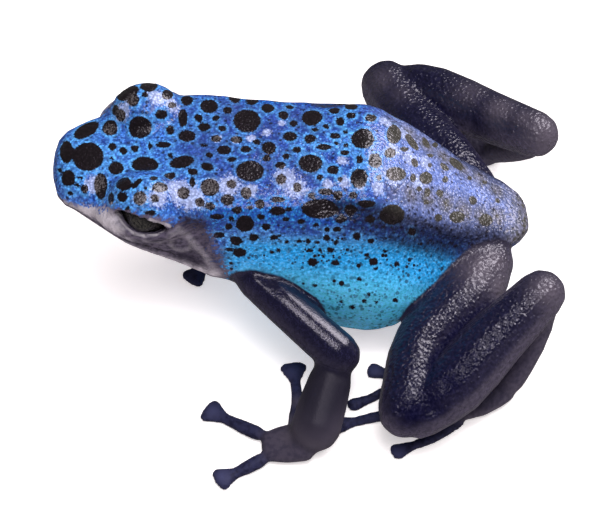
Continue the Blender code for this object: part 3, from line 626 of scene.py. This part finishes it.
# Half widths in mm, shares, the upward part of the normal, and rounds of blurring.
CHEEK = (3.7, 4.8)
CREASE_WIDTH = 0.4
FOOT_SHARE = 0.45
ARM_SHARE = 0.7
JAW_SHARE = 0.6
FACING_UP = (0.1, 0.9)
BORDER_ROUNDS = 5
DIGIT_ROUNDS = 4
FACE_ROUNDS = 14

side = np.abs(points[:, 0])
along = points[:, 1]
height = points[:, 2]
of_arm = np.isin(ranks, (1, 2)) & (along < ARMS_END)
limbs = spread((ranks > 0).astype(float), BORDER_ROUNDS)
hands = spread((ranks > 2).astype(float), BORDER_ROUNDS)
digits = spread((ranks > 4).astype(float), BORDER_ROUNDS)
arms = spread(of_arm.astype(float), BORDER_ROUNDS)
forearms = spread((of_arm & (ranks == 2)).astype(float), BORDER_ROUNDS)
hands *= 1.0 - FOOT_SHARE * step_between(along, *FEET_START) * (1.0 - digits)
digits = spread(digits, DIGIT_ROUNDS)
trunk = 1.0 - limbs
wrist = forearms * fade_between(height, *WRIST_TOP)
face_edge = np.array(seen_line(FACE_EDGE))
face_top = np.interp(along, face_edge[:, 1], face_edge[:, 2])
face = step_between(face_top - height, *FACE_DEPTH) * fade_between(along, *FACE_END) * trunk
face *= np.maximum(step_between(side, *CHEEK), fade_between(height, *SNOUT_TOP))
face += (spread(face, FACE_ROUNDS) - face) * step_between(along, *SOFT_FACE_START)
below_ridge = np.interp(along, RIDGE_PLACES, RIDGE_HEIGHTS) - height
rump = step_between(along, *RUMP_START) * fade_between(below_ridge, *RUMP_DEPTH)
flank = step_between(below_ridge, *FLANK_DEPTH) * step_between(along, *FLANK_START)
under_edge = np.array(seen_line(UNDER_EDGE))
below_edge = np.interp(along, under_edge[:, 1], under_edge[:, 2]) - height
under = step_between(below_edge, *UNDER_DEPTH) * fade_between(below_edge, *UNDER_LIMIT)
under *= step_between(along, *UNDER_START) * fade_between(along, *UNDER_END)
rear = step_between(along, *REAR_START) * fade_between(height, *REAR_TOP)


def glow_from(rows, sides=2):
    """The strongest of soft round patches: pixel, radius in mm, and strength if not full."""
    glow = np.zeros(len(points))
    for across, down, radius, *given in rows:
        strength = given[0] if given else 1.0
        for line in both_sides(seen_line([(across, down)]))[:sides]:
            for centre in line:
                away = np.linalg.norm(points - np.array(centre), axis=1)
                glow = np.maximum(glow, hump(away, radius) * strength)
    return glow


hollow_reach = np.interp(along, HOLLOW_STRETCH, HOLLOW_REACH)
hollow = fade_between(hollow_line, hollow_reach * HOLLOW_CORE, hollow_reach * HOLLOW_RIM)
lower_hollow = hump(seen_distance(HOLLOW_LOWER), LOWER_HOLLOW_WIDTH)
hollow = np.maximum(hollow, LOWER_HOLLOW_SHARE * lower_hollow)
dull = glow_from(DULL)
dark = glow_from(DARK)
pale = glow_from(BACK_SHEEN_PLACES, 1) * (ranks == 0)
haze = glow_from(RUMP_SHEEN_PLACES)
matt = glow_from(MATT, 1)
crease = np.maximum(hump(seen_distance(CREASE), CREASE_WIDTH), matt)
# Painted reflection of the white floor on the lower sides of the limbs, less on the arms and none
# where the legs are matt.
floor_reflection = fade_between(normals[:, 2], *FACING_UP) * limbs * (1.0 - ARM_SHARE * arms)
floor_reflection *= 1.0 - matt
pads = glow_from(PADS, 1)
limb_pale = glow_from(LIMB_SHEEN_PLACES, 1)
jaw = step_between(mouth_height - height, *JAW_DEPTH) * fade_between(along, *JAW_END)
face_pale = np.maximum(glow_from(FACE_SHEEN_PLACES), JAW_SHARE * jaw)
head = fade_between(along, *HEAD_END) * trunk
belly = fade_between(height, *BELLY_TOP) * trunk

layers = {
    "spots": spots, "limbs": limbs, "hands": hands, "arms": arms, "digits": digits,
    "forearms": forearms, "face": face, "rump": rump, "rear": rear, "flank": flank,
    "under": under, "hollow": hollow, "dull": dull, "dark": dark, "pale": pale, "haze": haze,
    "limb_pale": limb_pale, "floor_reflection": floor_reflection, "wrist": wrist, "crease": crease, "pads": pads,
    "face_pale": face_pale, "head": head, "belly": belly, "rims": rims, "folds": folds,
    "lip": lip, "mouth": mouth,
}
for label, values in layers.items():
    layer = skin_mesh.attributes.new(label, "FLOAT", "POINT")
    layer.data.foreach_set("value", values.astype(np.float32))
skin_mesh.shade_smooth()


def add_node(tree, kind, **values):
    """A shader node with its settings, and its inputs given by their number as _0, _1 and so on."""
    node = tree.nodes.new(kind)
    for key, value in values.items():
        if not key.startswith("_"):
            setattr(node, key, value)
    for key, value in values.items():
        if key.startswith("_"):
            socket = node.inputs[int(key[1:])]
            if isinstance(value, bpy.types.NodeSocket):
                tree.links.new(value, socket)
            else:
                socket.default_value = value
    return node


def read_mask(tree, label):
    return add_node(tree, "ShaderNodeAttribute", attribute_name=label).outputs["Fac"]


def sums(tree, operation, first, second=0.0, third=0.0, clamp=False):
    return add_node(tree, "ShaderNodeMath", operation=operation, use_clamp=clamp,
                    _0=first, _1=second, _2=third).outputs[0]


def ramp(tree, value, low, high, start=0.0, stop=1.0):
    """A smooth change from start to stop as the value goes from low to high."""
    node = add_node(tree, "ShaderNodeMapRange", interpolation_type="SMOOTHSTEP",
                    _0=value, _1=low, _2=high, _3=start, _4=stop)
    return node.outputs[0]


def blend_colours(tree, share, first, second, kind="MIX"):
    """Goes from the first colour to the second by the share."""
    node = add_node(tree, "ShaderNodeMix", data_type="RGBA", blend_type=kind)
    if isinstance(share, bpy.types.NodeSocket):
        tree.links.new(share, node.inputs["Factor"])
    else:
        node.inputs["Factor"].default_value = share
    colour_inputs = [socket for socket in node.inputs if socket.type == "RGBA"]
    for socket, value in zip(colour_inputs, (first, second)):
        if isinstance(value, bpy.types.NodeSocket):
            tree.links.new(value, socket)
        else:
            socket.default_value = (*value, 1.0)
    return next(socket for socket in node.outputs if socket.type == "RGBA")


def noise(tree, place, scale, detail=2.0, roughness=0.5):
    node = add_node(tree, "ShaderNodeTexNoise", _0=place)
    node.inputs["Scale"].default_value = scale
    node.inputs["Detail"].default_value = detail
    node.inputs["Roughness"].default_value = roughness
    return node.outputs["Fac"]


def cells(tree, place, scale, feature="F1"):
    node = add_node(tree, "ShaderNodeTexVoronoi", feature=feature, _0=place)
    node.inputs["Scale"].default_value = scale
    return node


# Colours of the living skin, and of the painted sheen, reflection and shade on it, as linear
# red, green and blue.
DEEP_BLUE = (0.016, 0.042, 0.27)
BACK_BLUE = (0.028, 0.100, 0.47)
BRIGHT_BLUE = (0.115, 0.365, 0.95)
HALO_BLUE = (0.120, 0.450, 1.00)
HEAD_BLUE = (0.046, 0.175, 0.62)
DULL_BLUE = (0.030, 0.055, 0.26)
ROYAL_BLUE = (0.004, 0.050, 0.35)
FLANK_BLUE = (0.014, 0.340, 0.82)
FLANK_BRIGHT = (0.110, 0.490, 0.96)
TURQUOISE = (0.080, 0.490, 0.74)
LAVENDER_SHEEN = (0.330, 0.400, 0.80)
SHEEN_MAUVE = (0.200, 0.195, 0.290)
SPOT_BROWN = (0.0075, 0.0045, 0.0065)
FACE_GREY = (0.102, 0.082, 0.130)
FACE_DARK = (0.016, 0.012, 0.026)
PALE_RIM_AND_HIGHLIGHT = (0.42, 0.38, 0.42)
FACE_SHEEN = (0.62, 0.56, 0.63)
LIMB_NAVY = (0.0030, 0.0027, 0.0160)
LIMB_LIGHT = (0.0110, 0.0100, 0.0350)
LIMB_SHEEN = (0.100, 0.082, 0.108)
FLOOR_REFLECTION_GREY = (0.085, 0.070, 0.108)
PALM_DARK = (0.038, 0.032, 0.054)
PALM_GREY = (0.056, 0.046, 0.071)
DIGIT_DARK = (0.009, 0.009, 0.028)
DIGIT_BLUE = (0.021, 0.022, 0.060)
PAD_BLUE = (0.042, 0.043, 0.105)
FOREARM_GREY = (0.014, 0.012, 0.022)
WRIST_GREY = (0.050, 0.041, 0.062)
SPOT_SHEEN_OLIVE = (0.090, 0.083, 0.068)
PATCH_SHEEN = (0.420, 0.480, 0.800)
SPOT_SHEEN_GREY = (0.150, 0.130, 0.138)
SHEEN_TINT = (0.96, 0.88, 1.0, 1.0)
BELLY_BLUE = (0.012, 0.060, 0.16)

# Grain of the skin: how many cells or waves of each noise there are to a millimetre,
# and the stretch of its value over which it shows.
FINE_SCALE = 7.0
MEDIUM_SCALE = 2.6
BROAD_SCALE = 0.45
WEB_SCALE = 3.0
GRIT_SCALE = 4.6
PEBBLE_SCALE = 3.3
STREAK_TURN = math.radians(-56.0)
STREAK_SCALE = (0.55, 3.4, 3.4)
FLANK_STREAKS = (5.5, 2.6, 5.5)
GRAIN_STRETCH = (0.36, 0.64)
CLUMP_STRETCH = (0.34, 0.66)
WEB_STRETCH = (0.30, 0.62)
STREAK_STRETCH = (0.34, 0.62)

# Dots: cells to a millimetre, share of them with a dot, radius and softness in mm.
FLECKS = (2.6, 0.70, 0.17, 0.035)
SMALL_DOTS = (2.1, 0.98, 0.19, 0.03)
SMALLEST_DOTS = (3.4, 0.9, 0.13, 0.03)
LARGE_DOTS = (1.0, 0.35, 0.24, 0.04)

material = bpy.data.materials.new("frog skin")
material.use_nodes = True
tree = material.node_tree
shader = tree.nodes["Principled BSDF"]
place = add_node(tree, "ShaderNodeTexCoord").outputs["Object"]
place = add_node(tree, "ShaderNodeMapping", _0=place, _3=(1 / MM,) * 3).outputs[0]
mask = {label: read_mask(tree, label) for label in layers}


def product(*factors):
    """All the masks and values multiplied together."""
    total = factors[0]
    for factor in factors[1:]:
        total = sums(tree, "MULTIPLY", total, factor)
    return total


def one_less(value):
    return sums(tree, "SUBTRACT", 1.0, value, clamp=True)


def strongest(*values):
    """The highest of the masks."""
    total = values[0]
    for value in values[1:]:
        total = sums(tree, "MAXIMUM", total, value)
    return total


def scaled(value, factor, offset):
    """The value times the factor, plus the offset."""
    return sums(tree, "MULTIPLY_ADD", value, factor, offset)


def dots(scale, share, radius, softness):
    """Scattered round dots, one in a share of the cells, their radius in mm."""
    cell = cells(tree, place, scale)
    chance = add_node(tree, "ShaderNodeSeparateColor", _0=cell.outputs["Color"]).outputs[0]
    reach = ramp(tree, chance, 1.0 - share, 1.0, 0.0, radius * scale)
    edge = sums(tree, "SUBTRACT", cell.outputs["Distance"], reach)
    return ramp(tree, edge, -softness * scale, softness * scale, 1.0, 0.0)


fine = noise(tree, place, FINE_SCALE)
medium = noise(tree, place, MEDIUM_SCALE, 3.0)
broad = noise(tree, place, BROAD_SCALE)
web = cells(tree, place, WEB_SCALE).outputs["Distance"]
grit = cells(tree, place, GRIT_SCALE, "SMOOTH_F1").outputs["Distance"]
edge_wobble = sums(tree, "ADD", scaled(medium, 0.22, -0.13), scaled(fine, 0.26, -0.13))
spot_edge = sums(tree, "ADD", mask["spots"], edge_wobble)
spot_mask = ramp(tree, spot_edge, -0.06, 0.07, 1.0, 0.0)
clear_of_spots = ramp(tree, mask["spots"], 0.08, 0.28)
grain = ramp(tree, fine, *GRAIN_STRETCH)
clumps = ramp(tree, medium, *CLUMP_STRETCH)
webbing = ramp(tree, web, *WEB_STRETCH, 1.0, 0.0)

# Head, back and flanks, from the ground colour up to the spots and the pale lines, with painted
# sheen on back, rump and face and partly painted shade under the ridge.
halo = product(ramp(tree, mask["spots"], 0.08, 0.45, 1.0, 0.0),
               ramp(tree, medium, 0.30, 0.6, 0.35, 1.0))
back = blend_colours(tree, scaled(clumps, 0.45, 0.25), DEEP_BLUE, BACK_BLUE)
back = blend_colours(tree, product(mask["head"], clumps), back, HEAD_BLUE)
back = blend_colours(tree, product(grain, webbing, 0.75), back, BRIGHT_BLUE)
back = blend_colours(tree, product(halo, scaled(grain, 0.40, 0.55)), back, HALO_BLUE)
back = blend_colours(tree, product(mask["dull"], 0.75), back, DULL_BLUE)
side_colour = blend_colours(tree, ramp(tree, mask["flank"], 0.45, 1.0), FLANK_BLUE, TURQUOISE)
flank_place = add_node(tree, "ShaderNodeMapping", _0=place, _3=FLANK_STREAKS).outputs[0]
flank_light = noise(tree, flank_place, 1.0, 3.0, 0.7)
side_colour = blend_colours(tree, ramp(tree, flank_light, 0.44, 0.68, 0.0, 0.8), side_colour,
                            FLANK_BRIGHT)
side_colour = blend_colours(tree, 1.0, side_colour, ramp(tree, flank_light, 0.30, 0.52, 0.62, 1.0),
                            "MULTIPLY")
body = blend_colours(tree, ramp(tree, mask["flank"], 0.0, 0.30), back, side_colour)
# A deeper royal blue band under the ridge, partly the skin's own colour and partly painted shade
# under its overhang.
royal = blend_colours(tree, product(grain, webbing, 0.7), ROYAL_BLUE, FLANK_BLUE)
body = blend_colours(tree, product(mask["under"], one_less(product(mask["rump"], 0.6)), 0.8), body,
                     royal)
# The rump's lavender and olive-mauve tones and its olive spots are painted sheen.
rump_sheen_colour = blend_colours(tree, scaled(product(grain, webbing), 0.6, 0.4), BACK_BLUE, LAVENDER_SHEEN)
haze_colour = blend_colours(tree, ramp(tree, medium, 0.38, 0.62), SPOT_SHEEN_OLIVE, SHEEN_MAUVE)
rump_sheen_colour = blend_colours(tree, strongest(mask["rear"], mask["haze"]), rump_sheen_colour, haze_colour)
body = blend_colours(tree, mask["rump"], body, rump_sheen_colour)
flecks = product(dots(*FLECKS), clear_of_spots, one_less(mask["flank"]), 0.75)
body = blend_colours(tree, flecks, body, SPOT_BROWN)
small_dots = product(strongest(dots(*SMALL_DOTS), dots(*SMALLEST_DOTS)),
                     ramp(tree, mask["flank"], 0.02, 0.10),
                     ramp(tree, mask["flank"], 0.45, 0.80, 1.0, 0.6),
                     ramp(tree, broad, 0.38, 0.56, 0.5, 1.0))
large_dots = product(dots(*LARGE_DOTS), ramp(tree, mask["flank"], 0.1, 0.3), clear_of_spots)
body = blend_colours(tree, strongest(small_dots, large_dots), body, SPOT_BROWN)
# Pale patches on the back are painted sheen, and the spots under them are painted grey with it.
sheen_patch_edge = sums(tree, "ADD", scaled(medium, 0.9, -0.45), scaled(fine, 1.1, -0.55))
sheen_patches = ramp(tree, sums(tree, "ADD", mask["pale"], sheen_patch_edge), 0.32, 0.68)
body = blend_colours(tree, product(sheen_patches, 0.88), body, PATCH_SHEEN)
# Spots on the rump and under the pale patches are painted with the sheen over them.
spot_colour = blend_colours(tree, product(mask["rump"], 0.8), SPOT_BROWN, SPOT_SHEEN_OLIVE)
spot_colour = blend_colours(tree, product(sheen_patches, grain, 0.8), spot_colour, SPOT_SHEEN_GREY)
body = blend_colours(tree, spot_mask, body, spot_colour)
# The dark band under the back ridge is partly dark mottling of the skin and partly painted shade
# under its overhang.
body = blend_colours(tree, product(mask["hollow"], ramp(tree, medium, 0.2, 0.65, 0.98, 0.72)), body,
                     SPOT_BROWN)
granules = ramp(tree, grit, 0.10, 0.55, 1.24, 0.60)
granule_share = one_less(product(mask["flank"], 0.75))
granules = scaled(sums(tree, "SUBTRACT", granules, 1.0), granule_share, 1.0)
body = blend_colours(tree, 1.0, body, granules, "MULTIPLY")
body = blend_colours(tree, mask["belly"], body, BELLY_BLUE)
both = add_node(tree, "ShaderNodeVectorMath", operation="ABSOLUTE", _0=place).outputs[0]
swung = add_node(tree, "ShaderNodeMapping", _0=both, _2=(0.0, 0.0, STREAK_TURN)).outputs[0]
drawn = add_node(tree, "ShaderNodeMapping", _0=swung, _3=STREAK_SCALE).outputs[0]
streaks = ramp(tree, noise(tree, drawn, 1.0, 3.0, 0.6), *STREAK_STRETCH)
face_colour = blend_colours(tree, scaled(streaks, 0.85, 0.15), FACE_DARK, FACE_GREY)
# The pale sheen on lip, jaw and throat edge is painted highlight.
face_sheen_share = product(mask["face_pale"], scaled(streaks, 0.4, 0.6))
face_colour = blend_colours(tree, face_sheen_share, face_colour, FACE_SHEEN)
face_share = sums(tree, "ADD", mask["face"], scaled(streaks, 0.5, scaled(fine, 0.8, -0.65)))
body = blend_colours(tree, ramp(tree, face_share, 0.25, 0.75), body, face_colour)
body = blend_colours(tree, product(mask["dark"], ramp(tree, medium, 0.3, 0.62, 1.0, 0.75)), body,
                     FACE_DARK)
rim_line = ramp(tree, mask["rims"], 0.05, 0.20, 0.75, 0.0)
fold_line = product(ramp(tree, mask["folds"], 0.05, 0.55, 0.34, 0.0),
                    ramp(tree, fine, 0.3, 0.6, 0.5, 1.0))
# The pale line along the lip is a painted highlight on its ridge.
lip_highlight = product(ramp(tree, mask["lip"], 0.10, 0.50, 0.7, 0.0),
                   ramp(tree, medium, 0.3, 0.6, 0.4, 1.0))
body = blend_colours(tree, strongest(rim_line, fold_line, lip_highlight), body, PALE_RIM_AND_HIGHLIGHT)
# The mouth line is drawn dark, and the nostrils are painted dark as shade in their holes.
body = blend_colours(tree, ramp(tree, mask["mouth"], 0.04, 0.14, 0.85, 0.0), body, SPOT_BROWN)

# Limbs, from the navy skin of arms and legs to the hands and the pads, with a painted
# reflection of the floor on their lower sides and painted sheen in places.
limb_colour = blend_colours(tree, product(grain, clumps), LIMB_NAVY, LIMB_LIGHT)
limb_colour = blend_colours(tree, product(mask["floor_reflection"], ramp(tree, medium, 0.3, 0.65, 0.5, 0.8)),
                            limb_colour, FLOOR_REFLECTION_GREY)
digit_colour = blend_colours(tree, ramp(tree, medium, 0.3, 0.6), DIGIT_DARK, DIGIT_BLUE)
digit_colour = blend_colours(tree, mask["pads"], digit_colour, PAD_BLUE)
palm_colour = blend_colours(tree, ramp(tree, medium, 0.35, 0.62), PALM_DARK, PALM_GREY)
limb_colour = blend_colours(tree, mask["hands"], limb_colour,
                            blend_colours(tree, mask["digits"], palm_colour, digit_colour))
forearm_colour = blend_colours(tree, mask["wrist"], FOREARM_GREY, WRIST_GREY)
limb_colour = blend_colours(tree, mask["forearms"], limb_colour, forearm_colour)
# Painted sheen on the far leg's top, the heels, the hip and one edge of the forearm.
limb_colour = blend_colours(tree, product(mask["limb_pale"], 0.8), limb_colour, LIMB_SHEEN)
colour = blend_colours(tree, ramp(tree, mask["limbs"], 0.05, 0.45), body, limb_colour)
tree.links.new(colour, shader.inputs["Base Color"])

# Surface relief in mm, with hollows below 0: pebbles on the thighs and shanks, fine
# grain on the back and arms, next to none on the hands and feet.
PEBBLE_RELIEF = -0.13
GRIT_RELIEF = -0.055
ROUGHER_GRIT = -0.03
LIMB_GRIT = 0.028
FINE_RELIEF = 0.022
SKIN_ROUGHNESS = 0.27
SKIN_GLOSS = 0.5
coarse = cells(tree, place, PEBBLE_SCALE, "SMOOTH_F1").outputs["Distance"]
legs = product(mask["limbs"], one_less(mask["arms"]), one_less(mask["hands"]))
plain = strongest(mask["hands"], product(mask["forearms"], 0.75))
coarse_height = product(coarse, legs, PEBBLE_RELIEF)
grit_depth = scaled(strongest(mask["hollow"], mask["rump"]), ROUGHER_GRIT, GRIT_RELIEF)
grit_depth = scaled(ramp(tree, mask["limbs"], 0.2, 0.8), LIMB_GRIT, grit_depth)
grit_height = product(grit, one_less(plain), granule_share, grit_depth)
skin_relief = scaled(fine, FINE_RELIEF, sums(tree, "ADD", coarse_height, grit_height))
bump = add_node(tree, "ShaderNodeBump")
bump.inputs["Strength"].default_value = 1.0
bump.inputs["Distance"].default_value = MM
tree.links.new(skin_relief, bump.inputs["Height"])
tree.links.new(bump.outputs["Normal"], shader.inputs["Normal"])
roughness = scaled(plain, 0.32, scaled(legs, 0.02, SKIN_ROUGHNESS))
roughness = scaled(mask["face"], 0.16, scaled(mask["arms"], -0.05, roughness))
tree.links.new(roughness, shader.inputs["Roughness"])
gloss = product(scaled(plain, -0.28, SKIN_GLOSS), one_less(mask["crease"]),
                one_less(product(mask["dark"], 0.7)))
tree.links.new(gloss, shader.inputs["Specular IOR Level"])
shader.inputs["Specular Tint"].default_value = SHEEN_TINT

skin_mesh.materials.clear()
skin_mesh.materials.append(material)
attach(skin, "root")
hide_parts(*flesh)

# Eyes. Each is a dark, wet ball with a slightly raised cornea, almost black with a
# faint bronze mottle. It sits in its socket behind the lids.
EYE_RADIUS = 2.16
CORNEA_LIFT = 0.45
CORNEA_EDGE = 0.75
LOOKING = (0.945, -0.2, 0.26)
EYE_ROUGHNESS = 0.22
IRIS_SCALE = 5.0
IRIS_DARK = (0.012, 0.011, 0.012)
IRIS_BRONZE = (0.048, 0.043, 0.038)
eye_material = bpy.data.materials.new("eye")
eye_material.use_nodes = True
eye_tree = eye_material.node_tree
eye_shader = eye_tree.nodes["Principled BSDF"]
eye_place = add_node(eye_tree, "ShaderNodeTexCoord").outputs["Object"]
eye_place = add_node(eye_tree, "ShaderNodeMapping", _0=eye_place, _3=(1 / MM,) * 3).outputs[0]
iris_noise = noise(eye_tree, eye_place, IRIS_SCALE, 3.0)
iris = blend_colours(eye_tree, ramp(eye_tree, iris_noise, 0.4, 0.7), IRIS_DARK, IRIS_BRONZE)
eye_tree.links.new(iris, eye_shader.inputs["Base Color"])
eye_shader.inputs["Roughness"].default_value = EYE_ROUGHNESS

for side_name, sign in (("left", 1.0), ("right", -1.0)):
    low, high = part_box(f"eye_{side_name}")
    centre = (low + high) / 2
    bm = bmesh.new()
    bmesh.ops.create_uvsphere(bm, u_segments=64, v_segments=40, radius=EYE_RADIUS * MM)
    look = Vector((sign * LOOKING[0], *LOOKING[1:]))
    for vert in bm.verts:
        facing = vert.co.normalized().dot(look)
        lift = max(0.0, (facing - CORNEA_EDGE) / (1.0 - CORNEA_EDGE))
        vert.co += look * (CORNEA_LIFT * MM * lift * lift * (3 - 2 * lift))
    bmesh.ops.translate(bm, vec=centre, verts=bm.verts)
    mesh = bpy.data.meshes.new(f"eyeball_{side_name}")
    bm.to_mesh(mesh)
    bm.free()
    mesh.shade_smooth()
    mesh.materials.append(eye_material)
    eyeball = bpy.data.objects.new(f"eyeball_{side_name}", mesh)
    bpy.context.scene.collection.objects.link(eyeball)
    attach(eyeball, "root")
    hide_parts(f"eye_{side_name}")

# Floor and light. The animal sits on a plain white sheet. A large soft lamp stands near
# the camera and another behind the animal, with a small one overhead, in a dim surround.
FLOOR_HALF = 400.0
FLOOR_DROP = 0.02
FLOOR_WHITE = (0.90, 0.85, 0.85)
FLOOR_GLOW = (1.0, 0.955, 0.955)
FLOOR_GLOW_STRENGTH = 0.52
SURROUND = (1.0, 0.985, 0.98)
SURROUND_STRENGTH = 0.12
LAMP_AIM = (0.0, 0.0, 8.0)
bm = bmesh.new()
bmesh.ops.create_grid(bm, x_segments=1, y_segments=1, size=FLOOR_HALF * MM)
bmesh.ops.translate(bm, vec=(0.0, 0.0, -FLOOR_DROP * MM), verts=bm.verts)
floor_mesh = bpy.data.meshes.new("floor")
bm.to_mesh(floor_mesh)
bm.free()
floor = bpy.data.objects.new("floor", floor_mesh)
bpy.context.scene.collection.objects.link(floor)
floor_material = bpy.data.materials.new("white sheet")
floor_material.use_nodes = True
floor_shader = floor_material.node_tree.nodes["Principled BSDF"]
floor_shader.inputs["Base Color"].default_value = (*FLOOR_WHITE, 1.0)
floor_shader.inputs["Roughness"].default_value = 0.9
floor_shader.inputs["Emission Color"].default_value = (*FLOOR_GLOW, 1.0)
floor_shader.inputs["Emission Strength"].default_value = FLOOR_GLOW_STRENGTH
floor_mesh.materials.append(floor_material)
floor.visible_glossy = False


def soft_lamp(name, place, size, power):
    """A square lamp turned to the animal, its place and size in mm and its power in watts."""
    data = bpy.data.lights.new(name, "AREA")
    data.size = size * MM
    data.energy = power
    lamp = bpy.data.objects.new(name, data)
    lamp.location = Vector(place) * MM
    lamp.rotation_euler = (Vector(LAMP_AIM) - Vector(place)).to_track_quat("-Z", "Y").to_euler()
    bpy.context.scene.collection.objects.link(lamp)
    return lamp


near_lamp = soft_lamp("near lamp", (100.0, 20.0, 245.0), 120.0, 0.42)
near_lamp.visible_glossy = False
soft_lamp("top lamp", (52.0, 10.0, 250.0), 60.0, 0.17)
soft_lamp("far lamp", (-135.0, 160.0, 195.0), 140.0, 0.75)
world = bpy.data.worlds.new("dim surround")
world.use_nodes = True
surround = world.node_tree.nodes["Background"]
surround.inputs["Color"].default_value = (*SURROUND, 1.0)
surround.inputs["Strength"].default_value = SURROUND_STRENGTH
bpy.context.scene.world = world
bpy.context.scene.view_settings.view_transform = "Standard"
